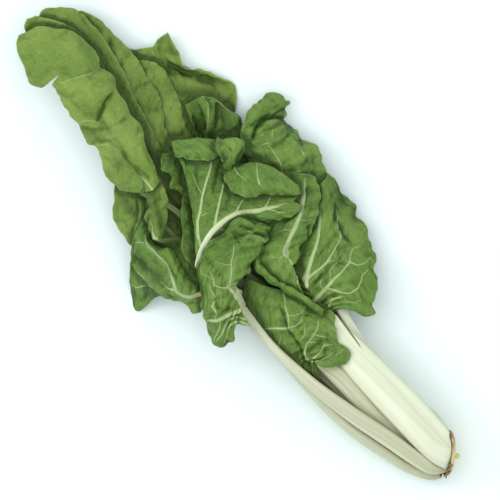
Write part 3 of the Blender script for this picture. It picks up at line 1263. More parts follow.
leaf(
    "tall_top", salt=8, face=-1, mid=3, rib_rows=2, rib=(5, 1.5), ruffle=0.7, waves=7, pleat=0.3,
    tone="tall", petiole="inner", pitch=0.9, midrib=0, rib_from=99, puff=0.25, sway=0.7, blister=13,
    frill=0.25, frill_pitch=16, puckers=0.7, pucker_size=19, nibble=0.7,
    notches=[
        (2.6, 3, 449.5, 31), (1.6, 2.2, 462.5, 27.5), (-1.2, 3, 442, 34), (1.5, 2.5, 435.5, 32.5),
        (1.5, 2.5, 471, 28),
    ],
    tears=[
        (2.1, [(476.2, 13), (475.8, 29)]),
    ],
    shades=[
        (0.28, 7, [(443, 19), (431, 17)]), (0.3, 5, [(428, 34), (416, 28)]),
        (0.2, 6, [(398, 26), (388, 28)]), (0.22, 4, [(450, -22), (437.5, -14.5)]),
    ],
    veins=[
        (0.4, 0.3, [(455.5, -15.5), (457.5, -5.5), (464, 6), (470, 18)]),
        (0.2, 0.15, [(484, -14), (485.5, -8.5), (486.5, -5.5)]), (0.2, 0.15, [(483.5, 6), (485, 11.5)]),
        (0.4, 0.3, [(425, 20), (431.5, 24.5), (436.5, 32)]),
        (0.4, 0.3, [(411, 34), (405.5, 26.5), (395.5, 24.5)]),
        (0.3, 0.3, [(414.5, 17), (405, 19), (393.5, 20.5)]),
        (1.1, 0.5, [(351.5, 27.5), (357, 26.5), (365, 26.5)]),
    ],
    folds=[
        (-3, 1.6, [(433, -7), (432, 3), (428.5, 12), (425, 20.5)]),
        (1.6, 2.2, [(429.5, -2.5), (425, 10), (423.5, 13)]),
        (-1.8, 1.6, [(425, 16), (415.5, 17), (396, 20), (379.5, 24.5)]),
        (1.6, 4, [(412, 15), (393.5, 17.5), (375.5, 20.5)]),
        (1.3, 1.6, [(436.5, 31.5), (431.5, 24.5), (425, 20)]),
        (-2.4, 1.5, [(432.5, 33.5), (423, 27), (415.5, 18.5)]), (-1.2, 1.2, [(421.5, 30.5), (416, 20)]),
        (1.7, 1.6, [(411, 34), (405.5, 26.5), (395.5, 24.5), (385.5, 26.5)]),
        (-1.6, 1.3, [(412, 32), (406.5, 24.5), (395.5, 21.5), (385, 23.5)]),
        (-1.7, 1.3, [(455.5, -15.5), (456, -11.5), (457.5, -5.5)]),
        (-1.5, 1.4, [(409, -0.5), (411.5, 8.5), (414.5, 17)]),
        (-1, 2.5, [(462.5, 24.5), (453, 23), (438, 24), (429.5, 17.5)]),
        (1.2, 6, [(454, 6), (441, 7), (436, 16)]), (1.4, 8, [(504, 12), (492, -2), (476, -10)]),
        (-1, 2, [(396, -2), (391, 7), (381, 15)]), (-2, 1.6, [(358, 22), (366, 22.5), (374, 23.5)]),
        (-2, 1.5, [(367, 26), (376, 24.5), (388, 24.5), (398, 24)]),
        (-1.4, 1.4, [(388, 24.5), (386, 33), (380, 41)]),
        (1.8, 4.5, [(365, 16), (380, 12), (400, 9), (412, 8)]),
    ],
    stem=[
        (54, 21, 24, 8, 4, 180), (85, 30, 26, 12, 4.5, 180), (130, 33, 29, 13, 4.5, 180),
        (180, 34, 33, 12, 4.5, 180), (240, 30, 34, 10, 3.5, 180), (290, 27, 39, 8, 3.5, 180),
        (325, 26, 50, 5, 3.5, 180),
    ],
    rows=[
        [(370, 46.8, 50), (365, 43.5, 52), (360, 39.5, 53), (355, 35, 54.5),
         (351.5, 29.5, 57), (350.5, 24.5, 57), (352, 19, 54)],
        [(374, 46.8, 51), (370, 42, 55), (365, 36.5, 57), (361, 29, 57.5),
         (361, 23.5, 58), (362, 18, 57), (363, 13, 54)],
        [(377, 47.5, 49), (376, 42, 56), (376, 33, 59), (376, 23, 58),
         (378, 18, 58), (379, 12, 57), (381, 6, 53)],
        [(391, 45, 49), (391, 39, 55), (392, 30, 58), (392, 20, 58),
         (393, 13, 59), (394, 5, 57), (396, -3, 52)],
        [(409, 36, 50), (408, 31, 53), (408, 25, 56), (408, 18, 58),
         (409, 10, 59), (409, 2, 57), (409, -5, 52)],
        [(419, 38.5, 48), (420, 33, 54), (421, 25, 57), (422, 16, 56),
         (421, 8, 58), (420, -1, 57), (420, -8.5, 51)],
        [(437, 32, 50), (435, 29, 54), (434, 23, 56), (431, 13, 54),
         (431, 6, 54), (431, -2, 53), (431, -10.5, 50)],
        [(453, 30.5, 50), (451, 27, 55), (449, 20, 59), (445, 11, 59),
         (444, 3, 59), (443, -7, 58), (442, -16.5, 50)],
        [(470, 26.5, 50), (469, 23, 54), (466, 17, 57), (463, 9, 57),
         (460, 0, 58), (457, -8, 57), (456, -15, 51)],
        [(476.3, 25.5, 51), (476, 19, 54), (475.5, 14.5, 56), (476, 8, 57),
         (472, -2, 57), (468, -12, 56), (465, -20, 49)],
        [(479, 33, 50), (477.5, 24, 54), (477.5, 15, 56), (480, 8, 57),
         (481, -2, 56), (482, -12, 55), (481, -21.5, 48)],
        [(490, 37, 48), (490, 29, 53), (490, 19, 56), (491, 9, 56),
         (493, -1, 55), (495, -10, 53), (496, -18, 48)],
        [(503, 30, 48), (504, 24, 52), (504, 17, 54), (505, 9, 54),
         (506, 2, 53), (508, -4, 51), (509, -9, 48)],
        [(515, 25.5, 48), (515, 22, 50), (515, 17, 51), (516, 11, 51),
         (517, 6, 50), (518, 2, 49), (518, -1, 48)],
        [(521, 21, 48), (522, 19, 48), (523, 17, 48), (524, 15, 48),
         (523, 12.5, 48), (522, 10.5, 48), (521, 8, 48)],
    ],
)

# ---- The dark inner leaves -----------------------------------------------------------------------
# Two young leaves stand up between the outer ones. They get little light, so they are darker, and
# their margins are strongly waved.

blade_finishes["deep"] = blade_finish(
    "shaded_blade_skin", paint(88, 120, 48), paint(64, 96, 32), paint(36, 62, 18), vein_pale,
    paint(108, 140, 72),
)

# The cupped leaf whose two peaks stand out at the back.
leaf(
    "back_cupped", salt=9, face=-1, mid=2, rib_rows=3, rib=(5, 2.5), ruffle=1.1, waves=3, pleat=0.4,
    tone="deep", petiole="inner", pitch=1, midrib=0.15, rib_from=99, puff=0.4, frill=0.3, puckers=0.6,
    notches=[(3, 3.5, 371.5, -61), (1.5, 4, 354, -66)],
    shades=[
        (0.8, 3.4, [(363, -36), (354, -36)]), (0.45, 5, [(358, -62), (349, -57), (340, -52)]),
        (0.3, 3, [(376.5, -35.5), (367, -33)]),
    ],
    veins=[
        (0.5, 0.4, [(366.5, -64.5), (362.5, -65.5), (351, -65), (344.5, -65.5), (337, -61)]),
        (0.4, 0.3, [(376.5, -58.5), (367, -53), (350.5, -41.5)]),
    ],
    folds=[
        (4, 2.4, [(375, -57), (365.5, -52.5), (357, -47), (349.5, -40.5)]),
        (2.6, 2, [(368, -63), (362.5, -55.5), (355, -47)]),
        (-3, 1.8, [(366.5, -63.5), (357, -57), (349.5, -44.5)]),
        (-3, 1.8, [(376, -52), (365.5, -46.5), (352.5, -39.5)]),
        (2.4, 2, [(380, -46), (369.5, -44.5), (356, -40)]),
        (-2.6, 1.8, [(381, -39), (369.5, -38.5), (357, -35)]),
        (2, 1.8, [(379.5, -32.5), (370.5, -32.5), (360, -30)]),
        (1.8, 1.8, [(359, -65), (348, -64), (338, -60)]), (-1.8, 1.8, [(358, -62), (349, -57), (343, -49)]),
        (1.4, 2, [(348, -48), (347, -55), (342, -58)]),
    ],
    stem=[
        (52, 8, 19, 7, 3.5, -150), (80, 4, 20, 11, 4, -160), (130, 1, 20, 12, 4, -170),
        (190, -8, 19, 11, 4, -180),
    ],
    rows=[
        [(206, 16, 24), (209, 4, 21), (212, -13, 19), (208, -24, 20), (205, -32, 20), (202, -40, 19)],
        [(250, 20, 27), (252, 4, 22), (255, -23, 19), (252, -34, 20), (250, -44, 20), (247, -52, 19)],
        [(294, 8, 24), (294, -8, 20), (296, -30, 19), (296, -42, 22), (294, -52, 22), (291, -58, 19)],
        [(332, -28, 20), (331, -33, 19), (330, -38, 20), (335, -46, 24), (333, -56, 22), (331, -64, 18)],
        [(344, -29, 21), (343, -33, 18), (343, -38, 18), (346, -44, 26), (344, -58, 23), (342, -68, 16)],
        [(355, -32, 21), (354, -35, 17), (354, -39, 16), (357, -46, 27), (356, -58, 23), (355, -67, 16)],
        [(366, -37, 21), (365, -39, 17), (364, -42, 16), (367, -49, 27), (365, -57, 23), (361, -66, 16)],
        [(375, -40, 21), (374, -42, 19), (373, -45, 18), (374, -51, 26), (372, -58, 23), (366, -65, 19)],
        [(383, -43, 21), (382, -45, 20), (381, -48, 20), (379, -54, 24), (377, -59, 22), (369, -65, 20)],
    ],
)
# The young frilled leaf at the heart.
leaf(
    "frilly_inner", salt=10, face=-1, mid=2, rib_rows=3, rib=(5, 2.5), ruffle=1.2, waves=5, pleat=0.5,
    tone="deep", petiole="inner", pitch=1.1, midrib=0.15, rib_from=99,
    stem=[
        (54, 14, 20, 7, 3.5, 180), (85, 17, 21, 11, 4, 180), (130, 17, 23, 12, 4, 180),
        (190, 18, 28, 11, 4, 180),
    ],
    rows=[
        [(262, 46, 39), (256, 36, 39), (246, 21, 36), (249, 10, 36), (252, -2, 36)],
        [(284, 50, 42), (276, 38, 42), (265, 24, 40), (265, 12, 40), (268, 2, 40)],
        [(298, 46, 45), (291, 36, 45), (284, 26, 43), (288, 18, 43), (291, 12, 42)],
        [(306, 36.5, 47), (303, 30, 48), (299, 22, 45), (302, 14, 45), (305, 8, 44)],
        [(319, 26, 47), (317, 21, 48), (314, 14, 46), (316, 7, 46), (319, 1, 45)],
        [(326, 17, 45), (325, 14, 46), (324, 8, 46), (326, 2, 46), (329, -4, 45)],
        [(335, 12, 44), (334, 9, 46), (333, 4, 46), (335, -2, 46), (338, -8, 45)],
        [(342, 15.5, 44), (343, 10, 46), (343, 2, 46), (344, -4, 46), (346, -10, 45)],
        [(351, 8, 43), (351, 5, 45), (351, 0, 45), (352, -5, 45), (353, -11, 44)],
        [(359, 9.5, 41), (359, 5, 43), (359, 0, 44), (359, -5, 44), (359, -10, 43)],
        [(367, 0.5, 41), (366, -1, 42), (365, -2, 42), (364, -4, 42), (363, -7, 42)],
    ],
)

# ---- The leaves at the right ---------------------------------------------------------------------
# Two big leaves grow from the front of the crown on broad, channelled cream petioles. Their blades
# are thick, with strong white veins that fork towards the scalloped margin.

petiole_finishes["cream"] = petiole_finish(
    "cream_petiole_skin", paint(222, 229, 204), paint(205, 213, 184), paint(176, 158, 118),
    paint(186, 205, 150),
)

# The leaf under the big one, with the curled tip.
leaf(
    "right_back", salt=11, crown_angle=162, crown_width=7.6, face=1, mid=2, rib_rows=5, rib=(3.4, 1),
    ruffle=1.5, waves=5, pleat=0.8, pitch=1, midrib=0, rib_from=99,
    veins=[
        (0.7, 0.4, [(284, -61), (290, -65), (297, -67), (309, -69)]),
        (0.5, 0.3, [(310, -69.5), (313, -64), (312, -62)]), (0.6, 0.3, [(282, -84), (290, -88)]),
        (0.4, 0.3, [(311, -76), (314, -80)]), (0.5, 0.3, [(318, -70), (317.5, -76)]),
        (0.5, 0.3, [(274, -72), (277, -68)]),
    ],
    folds=[
        (-2.8, 2, [(306, -70), (303, -78), (302.5, -90)]), (2, 4.5, [(313, -73), (311, -82), (311, -90)]),
        (-5, 1.6, [(322, -62), (326, -72), (327, -82), (322, -90), (314, -95)]),
        (2.6, 3, [(318, -66), (322, -74), (322, -82), (317, -88)]),
        (-2.4, 2.4, [(332, -68), (329, -80), (324, -92), (320, -102)]),
        (2.2, 3.2, [(336, -70), (337, -85), (335, -98)]), (-1.6, 2, [(275, -76), (277, -86)]),
        (-1.4, 2.2, [(263, -78), (268, -84), (275, -90)]), (1.8, 5, [(286, -75), (295, -80), (294, -88)]),
        (-2, 2.2, [(288, -89), (294, -92)]), (-2, 2.5, [(281, -58), (292, -57), (303, -50)]),
    ],
    stem=[
        (40, -4, 27.8, 10, 4.5, -75), (70, -4, 28, 12, 4.5, -75), (110, -4, 31, 12, 4.5, -70),
        (140, -7, 33, 11, 4.5, -60), (165, -13, 33, 10, 4, -45), (195, -24, 32, 9, 4, -30),
        (230, -38, 32, 8, 3.5, -20),
    ],
    rows=[
        [(274, -37, 31), (268, -43, 34), (262, -50, 35), (257, -63, 33), (254, -75, 31), (249, -86, 27)],
        [(286, -39, 32), (280, -47, 35), (272, -56, 37), (267, -68, 34), (264, -79, 30), (262, -89, 23)],
        [(297, -43, 33), (290, -52, 36), (282, -61, 37), (277, -74, 34), (273, -85, 28), (270, -95, 20)],
        [(308, -46, 33), (301, -55, 36), (292, -65, 37), (288, -77, 35), (285, -88, 27), (283, -96, 19)],
        [(318, -50, 33), (311, -59, 36), (302, -68, 36), (299, -78, 35), (296, -87, 28), (294, -93, 20)],
        [(327, -54, 32), (320, -61, 35), (311, -69, 35), (309, -79, 34), (307, -88, 25), (305, -95, 12)],
        [(333, -60, 30), (328, -67, 32), (320, -74, 30), (317, -82, 28), (315, -90, 21), (314, -94, 14)],
        [(338, -71, 26), (333, -78, 29), (326, -84, 25), (323, -90, 23), (321, -97, 17), (320, -103, 10)],
        [(340, -86, 20), (335, -91, 24), (329, -95, 20), (326, -99, 18), (324, -103, 14), (322, -106, 9)],
        [(341, -99, 14), (338, -103, 16), (334, -106, 15),
         (331, -107, 14), (328, -107, 12), (326, -105, 9)],
    ],
)
# The big front leaf. Its petiole is the widest, and splits a little on its back.
leaf(
    "right_outer", salt=12, crown_angle=92, crown_width=30.5, face=1, mid=2, rib_rows=10, rib=(15, 1.2),
    ruffle=1.5, waves=7, pleat=1, left_from=2, pitch=1, midrib=0.7, rib_from=7.6, nose=5, sides=60,
    set_back=4, fibre=0.05,
    notches=[
        (2.6, 4, 213, -79.5), (2.4, 4, 194.5, -72), (-1.4, 4, 219.5, -84), (-1.6, 4, 202.5, -78),
        (-1.8, 5, 177.5, -66), (5, 4.2, 172, -57.5), (-1.4, 6, 159, -48.5), (2.2, 2.5, 148.5, -37.5),
    ],
    grooves=[(0.45, 0.35, 0.06), (-0.62, 0.3, 0.3), (0.02, 0.25, 0.1)],
    slits=[
        (0.7, 1.2, [(132, -3), (150, -6), (169, -9)]),
        (0.25, 0.1, [(20, 3.5), (45, 3), (110, -1), (132, -3)]),
    ],
    veins=[
        (0.9, 0.6, [(176, -9), (178, -14), (174, -21)]),
        (1.8, 0.7, [(187.5, -3), (187.8, -16), (189, -25), (188.5, -35), (189.5, -47)]),
        (0.7, 0.4, [(189.5, -47), (183, -50), (180, -55), (180, -63)]),
        (0.6, 0.4, [(189.5, -47), (193, -52), (196, -57), (193, -63)]),
        (1, 0.5, [(187, -18.5), (178, -23), (171, -28), (169, -36), (171, -43), (174.5, -47), (174, -53)]),
        (0.5, 0.4, [(190, -25), (196, -30), (197, -40), (195, -45)]),
        (0.5, 0.3, [(190, -15), (195, -17), (197, -24)]),
        (1.5, 0.6, [(204, -8), (205, -15), (203.5, -25), (203, -34),
                    (205, -42), (207.5, -50), (209, -55), (214, -61)]),
        (0.6, 0.4, [(210, -58), (218, -61), (223, -68), (230, -73)]),
        (1.5, 0.7, [(206, -9), (210, -17), (214, -25), (222, -42)]),
        (0.6, 0.4, [(222, -42), (228, -49), (236, -58), (246, -68)]),
        (0.4, 0.3, [(168, -22), (162, -26), (160, -31)]), (0.4, 0.3, [(214, -34), (219, -36)]),
        (0.4, 0.3, [(203, -34), (198, -42), (201, -50)]),
    ],
    folds=[
        (-2.4, 2.2, [(200, -60), (210, -61), (216, -63.5), (226, -67), (234, -76)]),
        (-1.6, 3, [(181, -4), (182, -14), (180, -21)]),
        (-1.6, 3, [(195, -4), (197, -14), (200, -28), (199, -40)]),
        (-1.8, 3, [(196, -42), (202, -50), (200, -58)]), (1.6, 5, [(179, -30), (180, -38), (178, -43)]),
        (1.4, 4, [(186, -56), (189, -64)]), (2, 5, [(205, -70), (215, -73), (226, -78)]),
        (-1.8, 2, [(236, -58), (248, -67), (260, -77)]), (1.5, 3.5, [(226, -52), (238, -64), (250, -74)]),
    ],
    stem=[
        (30, 9.5, 39, 31, 6.5, -5), (60, 8.2, 43, 33, 8, -3), (100, 7.4, 44, 31.5, 7.5, -2),
        (130, 6.5, 44, 28.5, 7, 0), (150, 5, 44, 24, 6.5, 0),
    ],
    rows=[
        [(175, 8, 42), (170, 4, 44), (167, -1, 45), (169, -9, 43), (170, -11, 42), (171, -12.5, 41)],
        [(180, 9, 42), (175, 4, 44), (170.5, -1.5, 45),
         (170, -9.5, 43), (167, -14.5, 40), (161.5, -20.5, 37)],
        [(185, 10, 42), (179, 4, 44), (174, -2.5, 46),
         (172, -12.5, 43), (163.5, -21, 38), (149.5, -23, 33)],
        [(190, 10, 42), (184, 4, 44), (178, -3, 46), (175, -15, 43), (163, -28, 37), (143.5, -32, 32)],
        [(198, 10, 42), (190, 4, 44), (182, -3, 46), (179, -17, 43), (168, -32, 36), (151, -37.5, 31)],
        [(205, 8, 40), (196, 3, 43), (187, -3.5, 47), (185, -20, 43), (175, -38, 35), (158, -48, 28)],
        [(212, 6, 38), (203, 1, 42), (193, -4.5, 47), (191, -24, 43), (184, -46, 34), (172, -61, 22)],
        [(220, 4, 37), (210, -2, 41), (199, -6.5, 47), (197, -27, 43), (194, -50, 34), (183, -69, 18)],
        [(232, 0, 36), (218, -6, 40), (204, -10, 47), (204, -32, 43), (206, -55, 33), (205, -79, 14)],
        [(244, -12, 34), (230, -16, 39), (213, -25, 45), (212, -42, 41), (215, -62, 31), (218, -83, 13)],
        [(253, -28, 31), (240, -34, 36), (222, -42, 42), (222, -57, 37), (226, -71, 28), (231, -85, 14)],
        [(262, -46, 27), (251, -53, 31), (238, -61, 34), (238, -70, 31), (241, -78, 25), (246, -87, 15)],
        [(270, -60, 24), (263, -67, 27), (254, -75, 28), (254, -80, 26), (254, -84, 21), (256, -88, 17)],
    ],
)

# ---- The leaves over the front petiole -----------------------------------------------------------
# A small leaf hangs folded over the wide petiole, and beside it a long leaf is rolled along its
# margin. Both are crinkled, with thin pale veins.

# The small leaf that folds over the front petiole.
leaf(
    "front_small", salt=13, face=1, mid=2, rib_rows=4, rib=(6, 1.6), ruffle=1.3, waves=6, pleat=1,
    petiole="pale", pitch=0.9, midrib=0, rib_from=99, nibble=0.4,
    veins=[
        (0.8, 0.5, [(157, 36.5), (153.5, 31), (153, 25), (155.5, 16.5)]),
        (0.8, 0.4, [(154, 36), (149, 31), (146.5, 25), (145.5, 17)]),
        (1, 0.5, [(158, 36.5), (163, 33), (166, 27), (167, 20), (169, 12), (173, 6.5)]),
        (0.5, 0.4, [(168, 17.5), (163, 15), (157, 10)]), (0.5, 0.3, [(166, 25), (160, 19)]),
        (0.4, 0.3, [(142, 17), (141, 9)]), (0.5, 0.3, [(154, 17), (150, 12)]),
        (0.5, 0.4, [(172, 29), (173, 23), (178, 18)]),
        (0.6, 0.4, [(187, 28.5), (184, 24), (183, 18), (185, 14)]),
        (0.8, 0.4, [(187, 28.5), (194, 22), (202, 17), (209, 11.5), (215, 7.5)]),
        (0.5, 0.4, [(195, 22), (190, 17.5), (188, 12), (190, 5)]),
        (1.1, 0.6, [(188, 31), (193, 35), (197, 39), (201, 44)]),
        (0.7, 0.5, [(158.5, 47), (159, 41), (158.5, 37)]), (0.5, 0.3, [(181, 46), (187, 37)]),
        (0.4, 0.3, [(135, 44), (139, 40)]),
    ],
    folds=[
        (-3.2, 1.3, [(150, 38.5), (158.5, 39.5), (168, 33.5), (180, 31.5),
                     (187, 31), (196, 25), (206, 20.5)]),
        (-1.6, 2, [(150, 34), (149, 26), (151, 18)]), (-1.6, 2, [(160, 33), (161, 25), (158, 14)]),
        (1.2, 3, [(162, 30), (163, 22)]), (-1.8, 2.2, [(146, 12), (156, 13), (162, 6)]),
        (1.4, 3.5, [(135, 18), (137, 12)]), (1.4, 3, [(166, 8), (170, 3)]),
        (1.5, 3.5, [(178, 24), (179, 12)]), (-1.6, 2, [(182, 27), (181, 15), (184, 8)]),
        (1.6, 3.5, [(200, 12), (196, 8)]), (-1.8, 1.6, [(152, 37.5), (157, 37.5)]),
    ],
    stem=[
        (40, 25, 34, 5, 3, 15), (50, 26.6, 36.5, 7, 3.5, 12), (62, 27.6, 38.5, 9.5, 4, 12),
        (80, 28.6, 40, 13, 4.5, 10), (100, 29, 41, 15, 5, 8), (128, 27.5, 41, 16.5, 3.8, 5),
    ],
    rows=[
        [(112, 40, 36), (138, 40, 43), (150, 32, 46), (147, 33, 51.2), (141, 30.5, 52.8), (136, 24.5, 51)],
        [(134, 45, 36), (146, 40, 44), (154, 33, 48), (148, 28, 51), (143, 20, 52), (131, 15, 50)],
        [(148, 48, 37), (154, 41, 45), (158, 33.5, 49), (153, 26, 52), (149, 16, 53), (135, 6.5, 51)],
        [(160, 50, 38), (162, 41, 45), (162, 33, 49), (160, 24, 53), (157, 13, 53), (149, 7, 51)],
        [(172, 51, 38), (170, 41, 45), (167, 31.5, 50), (168, 20, 53), (167, 10, 53), (159, 1, 50)],
        [(186, 51, 39), (181, 40, 46), (175, 30, 50), (176, 20, 53), (176, 9, 52), (169, -8, 48)],
        [(202, 47, 41), (194, 37, 46), (184, 28.5, 51), (184, 20, 53), (186, 11, 52), (182, 1, 49)],
        [(218, 43, 43), (206, 34, 46), (194, 23.5, 51), (194, 17, 52), (196, 10, 51), (197, 3, 48)],
        [(234, 36, 44), (219, 28, 47), (204, 17.5, 50), (206, 13, 51), (208, 8, 50), (209, 4, 48)],
        [(243, 24, 45), (229, 19, 47), (214, 10.5, 49), (216, 9.5, 49), (218, 8.5, 48), (220, 8, 47)],
    ],
)
# The leaf with the long rolled margin that crosses the bunch.
leaf(
    "right_inner", salt=14, face=1, mid=4, rib_rows=7, rib=(4.2, 1.4), ruffle=1.2, waves=5, pleat=0.8,
    right_from=2, pitch=0.9, midrib=0.7, rib_from=3.6,
    dull=[(0.85, 150, 185)],
    veins=[
        (0.7, 0.5, [(208, -3), (214, -9), (222, -11.5), (230, -13), (236, -17)]),
        (1.6, 1.2, [(235, -14), (239, -23), (243, -33), (246, -42)]),
        (1.2, 0.5, [(246, -42), (250, -52), (256, -60), (264, -68)]),
        (0.5, 0.3, [(233, -13), (234, -8), (239, -4)]), (0.4, 0.3, [(243, -32), (248, -28), (250, -24)]),
        (0.5, 0.3, [(246, -42), (241, -46), (238, -50)]), (0.4, 0.3, [(256, -60), (262, -63)]),
    ],
    folds=[
        (-3.4, 1.6, [(218, -15), (222, -20), (227, -27), (228, -36)]),
        (-2.6, 1.2, [(228, -37), (232, -41), (237, -45.5)]),
        (1.2, 3.5, [(230, -22), (235, -32), (240, -40)]), (1.4, 5, [(236, -4), (243, -5)]),
        (-2, 2.5, [(248, -20), (252, -32), (254, -48)]), (-1.8, 2, [(250, -54), (258, -66), (270, -76)]),
    ],
    stem=[
        (54, 11, 27, 7, 3.5, 0), (85, 5, 31, 12, 4, 0), (130, 6, 33, 12, 4, 0), (165, 8, 35, 10, 3.5, 0),
        (188, 4, 38, 7, 3.5, 0), (202, 0, 42, 4, 3, 0),
    ],
    rows=[
        [(176, -3.5, 55.5), (175.5, -1, 56.5), (175, 1.5, 51), (195, 0, 53.5),
         (212, -6, 52), (214, -9, 52), (216, -12, 51)],
        [(197, 0, 57), (197, 2.5, 58.5), (197, 5, 52), (208, 0, 54.5),
         (217, -9, 53), (218, -13, 52), (219, -17, 50)],
        [(216, 5, 58.5), (216.5, 7.5, 60), (217, 10, 53), (219, 0, 55),
         (222, -11, 54), (221, -16, 52), (221, -20, 49.5)],
        [(231, 8, 59), (231.5, 10.5, 60.5), (232, 13, 54), (230, 0, 56),
         (229, -13, 55), (228, -20, 52), (227, -28, 48)],
        [(245, 5, 59), (246.5, 8, 60), (248, 10, 54), (241, -2, 57),
         (235, -16, 55), (232, -25, 51), (228, -35, 46)],
        [(250, -5, 58), (255, 0, 58), (257, 0, 53), (248, -9, 56),
         (239, -24, 54), (235, -33, 49), (230, -42, 45)],
        [(264, -19, 50), (262, -17, 50), (260, -16, 49), (253, -26, 51),
         (245, -41, 51), (240, -47, 44), (235, -51, 40)],
        [(274, -33, 45), (272, -32, 46), (270, -32, 47), (262, -42, 47),
         (252, -52, 46), (246, -57, 42), (240, -61, 37)],
        [(282, -50, 41), (280, -50, 42), (278, -50, 42), (270, -57, 43),
         (261, -64, 42), (255, -68, 38), (249, -71, 34)],
        [(283, -64, 37), (281, -65, 37), (279, -66, 38), (275, -69, 37),
         (270, -73, 36), (266, -76, 33), (261, -78, 31)],
    ],
)

# ---- The leaves in the middle --------------------------------------------------------------------
# The last leaves lie on top of all others. They are crinkled and thick, and their margins are curled
# back, so that both faces of the blade show.

